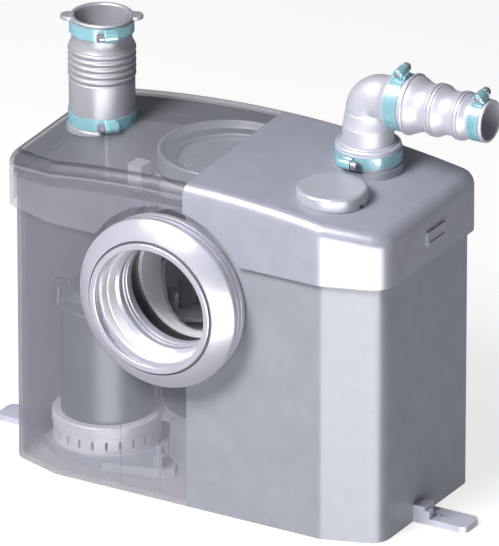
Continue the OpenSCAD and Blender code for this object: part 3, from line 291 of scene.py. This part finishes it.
connector_x, connector_z = -14.0 * mm, 170.0 * mm
sleeve_x, sleeve_y = -117.6 * mm, 2.8 * mm
riser_x, riser_y = 97.0 * mm, 29.2 * mm
vent_x, vent_y = 100.7 * mm, -31.0 * mm
riser_top = lid_top(riser_x, riser_y)
collar_top = riser_top + 3.4 * mm
collar_radius, collar_depth = 26.4 * mm, 10.4 * mm
spigot_radius, spigot_depth, spigot_above = 19.2 * mm, 17.4 * mm, 12.0 * mm
arch_radius, arch_depth = 72.0 * mm, 12.0 * mm
lid = lid_block(0.0, lid_low)
cut(lid, lid_block(lid_wall, lid_low - 20.0 * mm))
# The collar and the spigot for the elbow stand on the lid.
for radius, depth, top in (
        (collar_radius, collar_depth, collar_top),
        (spigot_radius, spigot_depth, collar_top + spigot_above)):
    cut(lid, round_tool(radius, depth, (riser_x, riser_y, top - depth / 2)), "UNION")
cut(lid, round_tool(arch_radius, arch_depth, (connector_x, -lid_front, connector_z),
                    (quarter, 0.0, 0.0), sides=128))
# The holes for the hose sleeve, the riser and the vent.
for radius, depth, x, y, z in (
        (17.2 * mm, 60.0 * mm, sleeve_x, sleeve_y, 262.0 * mm),
        (16.6 * mm, 60.0 * mm, riser_x, riser_y, 268.0 * mm),
        (15.0 * mm, 30.0 * mm, vent_x, vent_y, 262.0 * mm)):
    cut(lid, round_tool(radius, depth, (x, y, z)))

lid_grey = moulded("lid_grey", (0.33, 0.34, 0.405), 0.32, shine=0.38)
lid_clear = moulded("lid_clear", (0.36, 0.37, 0.43), 0.16, mottle=0.02, grain=0.0, clear=0.30)
# Painted light for the clear lid half's edges: near-black painted shade, a lighter painted shade
# for the front, painted dark edge shade and a painted highlight.
painted_edge_finishes = [
    moulded(name, colour, 0.4, mottle=0.02, grain=0.0, clear=clear, shine=0.2)
    for name, colour, clear in (
        ("lid_painted_shade", (0.012, 0.02, 0.032), 0.95), ("lid_painted_front_shade", (0.15, 0.155, 0.185), 0.5),
        ("lid_painted_edge_shade", (0.07, 0.075, 0.09), 0.7), ("lid_painted_highlight", (0.30, 0.31, 0.36), 0.6))]


def dress(piece, finish, nodes_out, body):
    # Gives a finished piece its material and body, and takes out its CAD node.
    bpy.ops.object.select_all(action="DESELECT")
    piece.select_set(True)
    bpy.context.view_layer.objects.active = piece
    bpy.ops.object.shade_smooth_by_angle(angle=math.radians(32))
    piece.data.materials.clear()
    piece.data.materials.append(finish)
    for node in nodes_out:
        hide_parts(node)
    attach(piece, body)


for name, keep, finish, node, slot in (
        ("clear_lid_half", 1.0, lid_clear, "lid_window", "clear_plastic"),
        ("grey_lid_half", -1.0, lid_grey, "lid_shell", "case_plastic")):
    bpy.ops.object.select_all(action="DESELECT")
    lid.select_set(True)
    bpy.context.view_layer.objects.active = lid
    bpy.ops.object.duplicate()
    half = bpy.context.object
    half.name = name
    bpy.ops.object.mode_set(mode="EDIT")
    bpy.ops.mesh.select_all(action="SELECT")
    bpy.ops.mesh.bisect(plane_co=(0.0, 0.0, 0.0), plane_no=(keep, 0.0, 0.0),
                        use_fill=True, clear_outer=True)
    bpy.ops.mesh.select_all(action="SELECT")
    bpy.ops.mesh.remove_doubles(threshold=0.01 * mm)
    bpy.ops.object.mode_set(mode="OBJECT")
    dress(half, finish, [node], "lid")
    if finish is lid_grey:
        continue
    # Painted light on the clear half: a near-black painted shade on the inner walls above the
    # case's rim, lighter at the front, and along its rounded edge a painted highlight low down
    # and painted dark shade above.
    for painted_edge_finish in painted_edge_finishes:
        half.data.materials.append(painted_edge_finish)
    # Slots: the painted shade band, the painted front shade, the painted edge shade and the
    # painted highlight.
    band, painted_front_shade, painted_edge_shade, painted_highlight = 1, 2, 3, 4
    half_middle, front_strip = -82.0 * mm, -50.0 * mm
    for face in half.data.polygons:
        middle, facing = face.center, face.normal
        outward = facing.x * (middle.x - half_middle) + facing.y * middle.y
        if middle.z < rim_line(middle.x):
            continue
        at_front = abs(facing.y) > 0.05 and middle.y < front_strip
        # Inner walls above the rim get painted shade, and rounded edges get a painted highlight
        # and painted dark shade.
        if outward < 0.0 and abs(facing.z) < 0.3:
            face.material_index = painted_front_shade if at_front else band
        elif outward > 0.0 and 0.05 < facing.z < 0.975:
            # Up the rounded edge, a face looks up more and more.
            if at_front:
                face.material_index = (painted_highlight if facing.z < 0.25 else
                                       painted_front_shade if facing.z < 0.85 else painted_edge_shade)
            else:
                face.material_index = painted_highlight if facing.z < 0.75 else painted_edge_shade
bpy.data.objects.remove(lid)
finish_node("lid_latches", lid_grey)


# The pan connector: a soft white rubber cone with three ribs, clipped into the case wall.
# Inside, a front lip and two wide stepped seals grip the spigot of the pan.
def spun(name, outline, sides=96, soften=0.4):
    # A ring turned from a closed outline of radius and height, in millimetres.
    bpy.ops.object.select_all(action="DESELECT")
    bpy.ops.mesh.primitive_circle_add(vertices=len(outline), radius=mm, fill_type="NOTHING")
    piece = bpy.context.object
    piece.name = name
    for point, (radius, height) in zip(piece.data.vertices, outline):
        point.co = (radius * mm, 0.0, height * mm)
    bpy.ops.object.mode_set(mode="EDIT")
    bpy.ops.mesh.select_all(action="SELECT")
    bpy.ops.mesh.spin(steps=sides, angle=2 * math.pi, center=(0, 0, 0), axis=(0, 0, 1))
    bpy.ops.mesh.select_all(action="SELECT")
    bpy.ops.mesh.remove_doubles(threshold=0.01 * mm)
    bpy.ops.mesh.normals_make_consistent(inside=False)
    bpy.ops.object.mode_set(mode="OBJECT")
    if soften:
        edge = piece.modifiers.new("edge", "BEVEL")
        edge.width, edge.segments, edge.limit_method = soften * mm, 3, "ANGLE"
        edge.angle_limit = math.radians(30)
        bpy.ops.object.modifier_apply(modifier="edge")
    return piece


def placed(piece, matrix):
    # Turns and moves a piece made at the origin to where it belongs.
    piece.matrix_world = matrix
    bpy.ops.object.select_all(action="DESELECT")
    piece.select_set(True)
    bpy.context.view_layer.objects.active = piece
    bpy.ops.object.transform_apply(location=True, rotation=True, scale=True)
    return piece


connector_front = 104.5 * mm
rubber_white = moulded("rubber_white", (0.41, 0.415, 0.48), 0.32, mottle=0.02, coat=0.2)
connector = spun("pan_connector", [
    (46.7, 0.7), (47.4, 0.02), (51.0, 0.02), (51.7, 0.7), (51.9, 3.2), (52.7, 3.2),
    (53.3, 2.2), (66.1, 11.5), (67.0, 12.8),
    (67.0, 16.9), (64.4, 17.3), (64.4, 18.4), (66.5, 18.8), (66.5, 22.9), (64.4, 23.3),
    (64.4, 24.4), (66.0, 24.8), (66.0, 29.0), (64.4, 29.6), (64.4, 30.7), (50.4, 30.7),
    (50.4, 34.3), (55.4, 34.3), (55.4, 38.0), (50.4, 40.0), (46.4, 45.0), (41.5, 45.0),
    (41.5, 38.6), (42.6, 38.2), (42.6, 37.2), (41.9, 36.8), (41.9, 35.0), (43.2, 34.6),
    (43.2, 33.6), (42.3, 33.2), (42.3, 28.6), (44.8, 26.6), (45.6, 17.9), (47.2, 17.6),
    (47.2, 16.8), (45.9, 16.4), (46.4, 9.8), (50.6, 8.8), (50.6, 2.6), (47.0, 1.8)],
    sides=128, soften=0.3)
facing_front = Matrix.Rotation(-quarter, 4, "X")
placed(connector,
       Matrix.Translation((connector_x, -connector_front, connector_z)) @ facing_front)
dress(connector, rubber_white, ["pan_sleeve"], "base")
# The two wide seals get a brighter rubber as painted light, and painted shade darkens the outer
# grooves.
seal_painted_light = moulded("seal_painted_light", (0.92, 0.92, 0.95), 0.3, mottle=0.02, coat=0.4)
groove_shade = moulded("groove_shade", (0.12, 0.125, 0.15), 0.5, mottle=0.02)
# Each row: the material, the radii that it lies between, and how far behind the lip.
painted_light_and_shade_rings = (
    (1, 44.5, 46.7, 9.9, 26.5),
    (2, 64.0, 64.9, 16.0, 25.0),
    (2, 51.6, 53.2, 1.0, 3.4))
connector.data.materials.append(seal_painted_light)
connector.data.materials.append(groove_shade)
# Faces in these rings take the painted light of the seals or the painted shade of the grooves.
for face in connector.data.polygons:
    reach = math.hypot(face.center.x - connector_x, face.center.z - connector_z)
    behind = face.center.y + connector_front
    for tint, inner, outer, near, far in painted_light_and_shade_rings:
        if inner * mm < reach < outer * mm and near * mm < behind < far * mm:
            face.material_index = tint


# The hose sleeve: a soft grey tube pushed over a spigot of the lid, with a bead at its foot,
# five ribs that let it bend, a waist, and a rolled rim with two pull ears.
sleeve_foot = 258.534
sleeve_grey = moulded("sleeve_grey", (0.31, 0.315, 0.35), 0.36, mottle=0.03)
rib_start, rib_step = 39.0, 5.1
ribs = []
for i in range(5):
    low = rib_start + rib_step * i
    ribs += [(24.2, low), (24.3, low + 0.9), (25.4, low + 2.2), (25.8, low + 3.0),
             (25.7, low + 4.1), (24.6, low + 4.8)]
sleeve = spun("hose_sleeve", [
    (20.1, -8.0), (27.0, -8.0), (27.0, 0.9), (26.5, 2.2), (25.4, 3.0), (25.0, 3.4),
    (25.0, 38.4)] + ribs + [
    (25.2, 64.9), (24.4, 66.0), (23.3, 68.6), (22.8, 71.5), (22.8, 75.9), (23.6, 76.5),
    (23.6, 85.4), (23.6, 86.3), (24.3, 87.0), (24.4, 88.0), (23.6, 88.8), (22.6, 89.0),
    (21.4, 88.8), (20.4, 87.6), (20.0, 85.0), (20.0, 32.0), (20.1, 31.0)], soften=0.25)
# The two ears are one flat bar with round ends, which the sleeve's bore is cut through.
ear_turn = Matrix.Rotation(math.atan2(0.504, 0.863), 4, "Z")
ear_round, ear_thick, ear_height, ear_shift = 6.5 * mm, 3.0 * mm, 87.1 * mm, 24.7 * mm
ear_bore = 20.8 * mm
bpy.ops.object.select_all(action="DESELECT")
bpy.ops.mesh.primitive_cylinder_add(vertices=48, radius=ear_round, depth=ear_thick,
                                    location=(0.0, 0.0, ear_height))
ears = bpy.context.object
bpy.ops.object.transform_apply(location=True, rotation=False, scale=False)
for point in ears.data.vertices:
    if abs(point.co.x) > 0.01 * mm:
        point.co.x += math.copysign(ear_shift, point.co.x)
edge = ears.modifiers.new("edge", "BEVEL")
edge.width, edge.segments, edge.limit_method = 0.7 * mm, 3, "ANGLE"
bpy.ops.object.modifier_apply(modifier="edge")
placed(ears, ear_turn)
cut(ears, round_tool(ear_bore, 20.0 * mm, (0.0, 0.0, 87.0 * mm)))
cut(sleeve, ears, "UNION")
placed(sleeve, Matrix.Translation((sleeve_x, sleeve_y, sleeve_foot * mm)))
bpy.ops.object.mode_set(mode="EDIT")
bpy.ops.mesh.select_all(action="SELECT")
sleeve_slope = -sleeve_x / crown_round
bpy.ops.mesh.bisect(
    plane_co=(sleeve_x, sleeve_y, lid_top(sleeve_x, sleeve_y) + 0.2 * mm),
    plane_no=(-sleeve_slope, -lid_slope, 1.0), use_fill=True, clear_inner=True)
bpy.ops.object.mode_set(mode="OBJECT")
dress(sleeve, sleeve_grey, ["waste_sleeve"], "lid")


# The discharge elbow: one rubber moulding whose cuff grips the lid's spigot. It rises, draws
# in, turns sharply and opens into a socket for the outlet adapter.
elbow_grey = moulded("elbow_grey", (0.43, 0.435, 0.50), 0.46, mottle=0.03, shine=0.7)
elbow_turn_x, elbow_turn_z = 109.8, 305.8
cuff_radius, cuff_foot = 24.8, 265.7
bpy.ops.object.select_all(action="DESELECT")
bpy.ops.mesh.primitive_circle_add(vertices=96, radius=cuff_radius * mm, fill_type="NGON",
                                  location=(riser_x, riser_y, cuff_foot * mm))
elbow = bpy.context.object
elbow.name = "discharge_elbow"
bpy.ops.object.transform_apply(location=True, rotation=False, scale=False)
bpy.ops.object.mode_set(mode="EDIT")
bpy.ops.mesh.select_all(action="SELECT")
radius, height = cuff_radius, cuff_foot
for next_radius, next_height in (
        (24.8, 277.6), (24.2, 278.0), (24.2, 278.4), (24.8, 278.9), (24.8, 280.0),
        (24.0, 280.9), (22.6, 281.0), (22.0, 280.4), (21.4, 280.2), (21.2, 281.0),
        (20.4, 281.6), (19.6, 281.4), (19.4, 282.4), (19.4, 294.4), (19.1, 294.8),
        (17.4, 305.4), (17.0, elbow_turn_z)):
    bpy.ops.mesh.extrude_region_move(
        TRANSFORM_OT_translate={"value": (0.0, 0.0, (next_height - height) * mm)})
    ratio = next_radius / radius
    bpy.ops.transform.resize(value=(ratio, ratio, 1.0), center_override=(
        riser_x, riser_y, next_height * mm))
    radius, height = next_radius, next_height
bpy.ops.mesh.spin(steps=24, angle=quarter, axis=(0.0, -1.0, 0.0),
                  center=(elbow_turn_x * mm, riser_y, elbow_turn_z * mm))
place = elbow_turn_x
outlet_z = 318.6
for next_radius, next_place in (
        (17.4, 113.0), (18.6, 116.2), (20.6, 118.4), (21.2, 119.4), (21.2, 133.4),
        (20.8, 134.0)):
    bpy.ops.mesh.extrude_region_move(
        TRANSFORM_OT_translate={"value": ((next_place - place) * mm, 0.0, 0.0)})
    ratio = next_radius / radius
    bpy.ops.transform.resize(value=(1.0, ratio, ratio), center_override=(
        next_place * mm, riser_y, outlet_z * mm))
    radius, place = next_radius, next_place
bpy.ops.mesh.select_all(action="SELECT")
bpy.ops.mesh.remove_doubles(threshold=0.01 * mm)
bpy.ops.mesh.normals_make_consistent(inside=False)
bpy.ops.object.mode_set(mode="OBJECT")
dress(elbow, elbow_grey, ["discharge_elbow"], "elbow")


# The outlet adapter: a rubber reducer plugged into the elbow's socket. It has a thin flange,
# two waists and two double rings, and its small end takes the 28 mm outlet pipe.
adapter_start = 134.3
adapter = spun("outlet_adapter", [
    (14.0, -8.0), (16.2, -8.0), (16.2, 0.1), (22.9, 0.1), (23.5, 0.9), (23.5, 2.2), (23.0, 2.9),
    (22.1, 3.1), (22.3, 3.9), (21.6, 6.2), (20.2, 9.0), (18.9, 12.2), (18.4, 14.8), (18.6, 17.4),
    (19.5, 19.8), (20.2, 21.3), (20.2, 22.0), (19.2, 22.2), (19.2, 22.9), (20.2, 23.1),
    (20.2, 25.2), (19.2, 25.4), (19.2, 26.1), (20.0, 26.3), (19.4, 27.6), (17.9, 30.2),
    (17.0, 33.0), (16.7, 35.6), (17.0, 38.4), (17.9, 41.2), (18.6, 42.8), (18.6, 43.4),
    (17.6, 43.6), (17.6, 44.3), (18.6, 44.5), (18.6, 46.4), (17.6, 46.6), (17.6, 47.3),
    (18.3, 47.5), (17.2, 49.4), (15.9, 51.4), (15.6, 52.6), (15.6, 63.7), (16.3, 64.2),
    (16.3, 66.1), (15.8, 66.7), (14.4, 66.7), (14.0, 66.1)], soften=0.15)
along_x = Matrix.Rotation(quarter, 4, "Y")
placed(adapter, Matrix.Translation((adapter_start * mm, riser_y, outlet_z * mm)) @ along_x)
dress(adapter, elbow_grey, ["outlet_adapter"], "elbow")


# The hose clamps: a blue band pierced with slots, drawn tight by a worm screw that turns in
# a housing riveted to the band. Two grip the hose sleeve and three the discharge.
band_blue = moulded("band_blue", (0.24, 0.47, 0.53), 0.26, mottle=0.04, grain=0.01, coat=0.5)
screw_grey = moulded("screw_grey", (0.30, 0.28, 0.33), 0.3, mottle=0.1, grain=0.01)
screw_grey.node_tree.nodes["Principled BSDF"].inputs["Metallic"].default_value = 0.4
band_thick, band_margin, slot_depth, slot_turn = 0.8, 1.6, 0.45, 2.5
saddle_high, saddle_long, saddle_proud = 3.6, 9.6, 0.8
saddle_sink, saddle_shift = 1.9, 0.4
worm_step, barrel_radius, barrel_length, worm_hole_radius = 3.6, 4.2, 11.0, 2.5
thread_start, thread_pitch, thread_root, thread_crest = -5.4, 1.3, 1.9, 2.35
screw_top, cross_long, cross_wide, cross_deep = 10.7, 8.0, 1.1, 3.4


def clamp(name, screw_name, radius, width, angle, way, slots, place, body, nodes_out):
    # The housing sits at the angle round the band, and the way says to which side the screw's
    # head points. The slots pierce the stretch between two angles, in degrees from the housing.
    outer = radius + band_thick
    band = spun(name, [
        (radius, 0.0), (outer, 0.0), (outer, band_margin), (outer, width - band_margin),
        (outer, width), (radius, width)], sides=144, soften=0.0)
    bpy.ops.object.mode_set(mode="EDIT")
    bpy.ops.mesh.select_mode(type="FACE")
    bpy.ops.mesh.select_all(action="DESELECT")
    bpy.ops.object.mode_set(mode="OBJECT")
    for face in band.data.polygons:
        turn = math.degrees(math.atan2(face.center.y, face.center.x)) - angle
        turn = (turn + 180.0) % 360.0 - 180.0
        outside = face.center.to_2d().length > (outer - 0.1) * mm
        middle = abs(face.center.z - width / 2 * mm) < 0.1 * mm
        every_other = int(round((turn + angle + 360.0) / slot_turn - 0.5)) % 2 == 0
        face.select = outside and middle and every_other and slots[0] < turn < slots[1]
    bpy.ops.object.mode_set(mode="EDIT")
    bpy.ops.mesh.extrude_faces_move(TRANSFORM_OT_shrink_fatten={"value": -slot_depth * mm})
    bpy.ops.object.mode_set(mode="OBJECT")
    at_screw = (Matrix.Rotation(math.radians(angle), 4, "Z")
                @ Matrix.Translation(((radius + worm_step) * mm, 0.0, width / 2 * mm)))
    bpy.ops.object.select_all(action="DESELECT")
    bpy.ops.mesh.primitive_cube_add(size=1.0)
    saddle = bpy.context.object
    saddle.scale = (saddle_high * mm, saddle_long * mm, (width + saddle_proud) * mm)
    saddle.location = (-saddle_sink * mm, saddle_shift * way * mm, 0.0)
    bpy.ops.object.transform_apply(location=True, rotation=True, scale=True)
    edge = saddle.modifiers.new("edge", "BEVEL")
    edge.width, edge.segments = 1.2 * mm, 4
    bpy.ops.object.modifier_apply(modifier="edge")
    placed(saddle, at_screw)
    barrel = round_tool(barrel_radius * mm, barrel_length * mm, (0.0, 0.0, 0.0),
                        (quarter, 0.0, 0.0), sides=48)
    bpy.ops.object.transform_apply(location=True, rotation=True, scale=True)
    edge = barrel.modifiers.new("edge", "BEVEL")
    edge.width, edge.segments, edge.limit_method = 0.9 * mm, 4, "ANGLE"
    bpy.ops.object.modifier_apply(modifier="edge")
    placed(barrel, at_screw)
    cut(saddle, barrel, "UNION")
    cut(saddle, round_tool((radius + 0.2) * mm, 60.0 * mm, (0.0, 0.0, 0.0), sides=144))
    cut(band, saddle, "UNION")
    worm_hole = round_tool(worm_hole_radius * mm, 30.0 * mm, (0.0, 0.0, 0.0),
                           (quarter, 0.0, 0.0), sides=32)
    bpy.ops.object.transform_apply(location=True, rotation=True, scale=True)
    cut(band, placed(worm_hole, at_screw))
    placed(band, place)
    dress(band, band_blue, [nodes_out[0]], body)

    # The worm screw lies in the housing: a threaded shank and a head with a cross slot.
    thread = []
    for i in range(9):
        low = thread_start + thread_pitch * i
        thread += [(thread_root, low), (thread_crest, low + 0.45), (thread_crest, low + 0.75),
                   (thread_root, low + 1.2)]
    screw = spun(screw_name, [(0.3, -5.5)] + thread + [
        (1.9, 6.3), (3.0, 5.85), (3.4, 6.2), (3.4, 10.2), (2.9, screw_top), (0.3, screw_top)],
        sides=32, soften=0.0)
    for turned in (0.0, quarter):
        bpy.ops.object.select_all(action="DESELECT")
        bpy.ops.mesh.primitive_cube_add(size=1.0)
        slot = bpy.context.object
        slot.scale = (cross_long * mm, cross_wide * mm, cross_deep * mm)
        slot.location = (0.0, 0.0, screw_top * mm)
        slot.rotation_euler = (0.0, 0.0, turned)
        bpy.ops.object.transform_apply(location=True, rotation=True, scale=True)
        cut(screw, slot)
    placed(screw, place @ at_screw @ Matrix.Rotation(-quarter * way, 4, "X"))
    dress(screw, screw_grey, [nodes_out[1]], nodes_out[2])


for name, end, radius, height in (
        ("low_sleeve_clamp", "low", 25.1, 261.934),
        ("high_sleeve_clamp", "high", 23.7, 334.534)):
    clamp(name, name + "_screw", radius, 9.5, -45.0, -1, (8.0, 155.0),
          Matrix.Translation((sleeve_x, sleeve_y, height * mm)), "lid",
          ("sleeve_clamp_" + end, "sleeve_screw_" + end, "turn_sleeve_screw_" + end))
clamp("cuff_clamp", "cuff_clamp_screw", 24.9, 9.0, -96.0, 1, (-175.0, -60.0),
      Matrix.Translation((riser_x, riser_y, 267.667 * mm)), "elbow",
      ("collar_clamp", "collar_screw", "turn_collar_screw"))
all_round = (-181.0, 181.0)
lying = Matrix.Rotation(quarter, 4, "Y") @ Matrix.Rotation(math.pi, 4, "Z")
for name, radius, width, band_x, key in (
        ("socket_clamp", 21.3, 11.0, 120.8, "elbow"),
        ("outlet_pipe_clamp", 15.7, 9.0, 189.0, "outlet")):
    clamp(name, name + "_screw", radius, width, 8.0, -1, all_round,
          Matrix.Translation((band_x * mm, riser_y, outlet_z * mm)) @ lying, "elbow",
          (key + "_clamp", key + "_screw", "turn_" + key + "_screw"))


# The vent cap: a soft-edged round cap over the air hole in the lid, with a charcoal disc
# under it and one small slot low on its side that lets the air out.
vent_round, vent_low, vent_top = 26.9 * mm, -8.0 * mm, 8.4 * mm
near_top, near_rim, rim_round = 8.0 * mm, 26.0 * mm, 2.8 * mm
filter_room = 17.0 * mm
bpy.ops.object.select_all(action="DESELECT")
bpy.ops.mesh.primitive_cylinder_add(vertices=96, radius=vent_round, depth=vent_top - vent_low,
                                    location=(0.0, 0.0, (vent_top + vent_low) / 2))
vent = bpy.context.object
vent.name = "vent_cover"
bpy.ops.object.transform_apply(location=True, rotation=False, scale=False)
pick(vent, lambda p: p.z > near_top, "FACE")
bpy.ops.mesh.inset(thickness=7.0 * mm, depth=0.0)
bpy.ops.mesh.inset(thickness=9.0 * mm, depth=0.0)
pick(vent, lambda p: p.z > near_top and p.to_2d().length > near_rim)
bpy.ops.mesh.bevel(offset=rim_round, segments=6)
bpy.ops.mesh.select_all(action="DESELECT")
bpy.ops.object.mode_set(mode="OBJECT")
cut(vent, round_tool(filter_room, 26.0 * mm, (0.0, 0.0, -7.8 * mm)))
bpy.ops.object.select_all(action="DESELECT")
bpy.ops.mesh.primitive_cube_add(size=1.0)
mouth = bpy.context.object
mouth.scale = (14.0 * mm, 5.0 * mm, 3.4 * mm)
mouth.location = (24.0 * mm, 0.0, -2.0 * mm)
bpy.ops.object.transform_apply(location=True, rotation=True, scale=True)
cut(vent, placed(mouth, Matrix.Rotation(math.radians(-6), 4, "Z")))
vent_height = lid_top(vent_x, vent_y)
placed(vent, Matrix.Translation((vent_x, vent_y, vent_height)))
bpy.ops.object.mode_set(mode="EDIT")
bpy.ops.mesh.select_all(action="SELECT")
bpy.ops.mesh.bisect(plane_co=(vent_x, vent_y, vent_height + 0.3 * mm),
                    plane_no=(vent_x / crown_round, -lid_slope, 1.0),
                    use_fill=True, clear_inner=True)
bpy.ops.object.mode_set(mode="OBJECT")
vent_grey = moulded("vent_grey", (0.42, 0.44, 0.50), 0.3)
dress(vent, vent_grey, ["vent_cap"], "vent")


# The drum's cover: a round plastic lid dished in two steps, pressed onto the drum's rim. A
# near-black ring round the drum's throat behind the pan connector is painted shade for the gap
# there.
inner_grey = moulded("inner_grey", (0.45, 0.47, 0.53), 0.4, grain=0.004)
cover_shade = moulded("cover_shade", (0.20, 0.215, 0.26), 0.4)
drum_x, drum_y, cover_base = -14.0 * mm, 14.0 * mm, 244.0 * mm
cover = spun("drum_lid", [
    (0.05, 3.0), (23.6, 3.0), (23.8, 2.5), (24.4, 2.5), (24.6, 3.0), (33.6, 3.0), (33.8, 2.5),
    (34.4, 2.5), (34.6, 3.0), (38.4, 3.0), (39.2, 3.6), (39.8, 6.4), (40.6, 7.2), (49.0, 8.0),
    (49.8, 8.8), (50.6, 12.2), (51.4, 13.0), (53.2, 13.0), (54.0, 12.2), (54.0, 0.0),
    (50.8, 0.0), (50.8, -6.0), (47.8, -6.0), (47.8, 0.0), (0.05, 0.0)], soften=0.0)
placed(cover, Matrix.Translation((drum_x, drum_y, cover_base)))
dress(cover, inner_grey, ["drum_cover"], "base")
# The step between the dish and the rim lies in shade.
step_inner, step_outer, step_above = 40.6 * mm, 49.0 * mm, 5.0 * mm
cover.data.materials.append(cover_shade)
for face in cover.data.polygons:
    reach = (face.center.to_2d() - Vector((drum_x, drum_y))).length
    if step_inner < reach < step_outer and face.center.z > cover_base + step_above:
        face.material_index = 1
# Black rubber for the seals, also the painted shade of the throat ring.
black_rubber_and_shade = moulded("black_rubber_and_shade", (0.02, 0.02, 0.022), 0.55)
throat_y = -44.0 * mm
# A near-black ring fills the gap behind the pan connector as painted shade.
throat_shade_ring = spun("throat_shade_ring", [(46.0, 0.0), (57.5, 0.0), (57.5, 1.8), (46.0, 1.8)])
placed(throat_shade_ring, Matrix.Translation((connector_x, throat_y, connector_z)) @ facing_front)
dress(throat_shade_ring, black_rubber_and_shade, [], "base")


# The works inside, the seals and the fittings stay the frame's own solids. Each gets the
# finish of its material: moulded plastic, rubber, steel or copper.
dark_grey = moulded("dark_grey", (0.10, 0.115, 0.14), 0.38, grain=0.004)
pale_grey = moulded("pale_grey", (0.82, 0.82, 0.86), 0.4, grain=0.004)
seal_grey = moulded("seal_grey", (0.10, 0.11, 0.13), 0.5)
part_black = moulded("part_black", (0.03, 0.03, 0.033), 0.45)
part_white = moulded("part_white", (0.72, 0.72, 0.74), 0.45)
plain_steel = moulded("plain_steel", (0.6, 0.6, 0.62), 0.35)
plain_steel.node_tree.nodes["Principled BSDF"].inputs["Metallic"].default_value = 0.35
wire_copper = moulded("wire_copper", (0.55, 0.25, 0.12), 0.35)
wire_copper.node_tree.nodes["Principled BSDF"].inputs["Metallic"].default_value = 1.0
slot_finish = {
    "inner_plastic": inner_grey, "dark_plastic": dark_grey, "black_rubber": black_rubber_and_shade,
    "black_plastic": part_black, "white_plastic": part_white, "steel": plain_steel,
    "copper": wire_copper, "white_rubber": rubber_white}
for entry in frame["record"]["subparts"]:
    if entry["material_slot"] in slot_finish:
        finish_node(entry["node"], slot_finish[entry["material_slot"]])
finish_node("lid_gasket", seal_grey)
for pale in ("conduit_bracket", "grinder_drum", "strainer_ring", "chamber_foot_ring"):
    finish_node(pale, pale_grey)
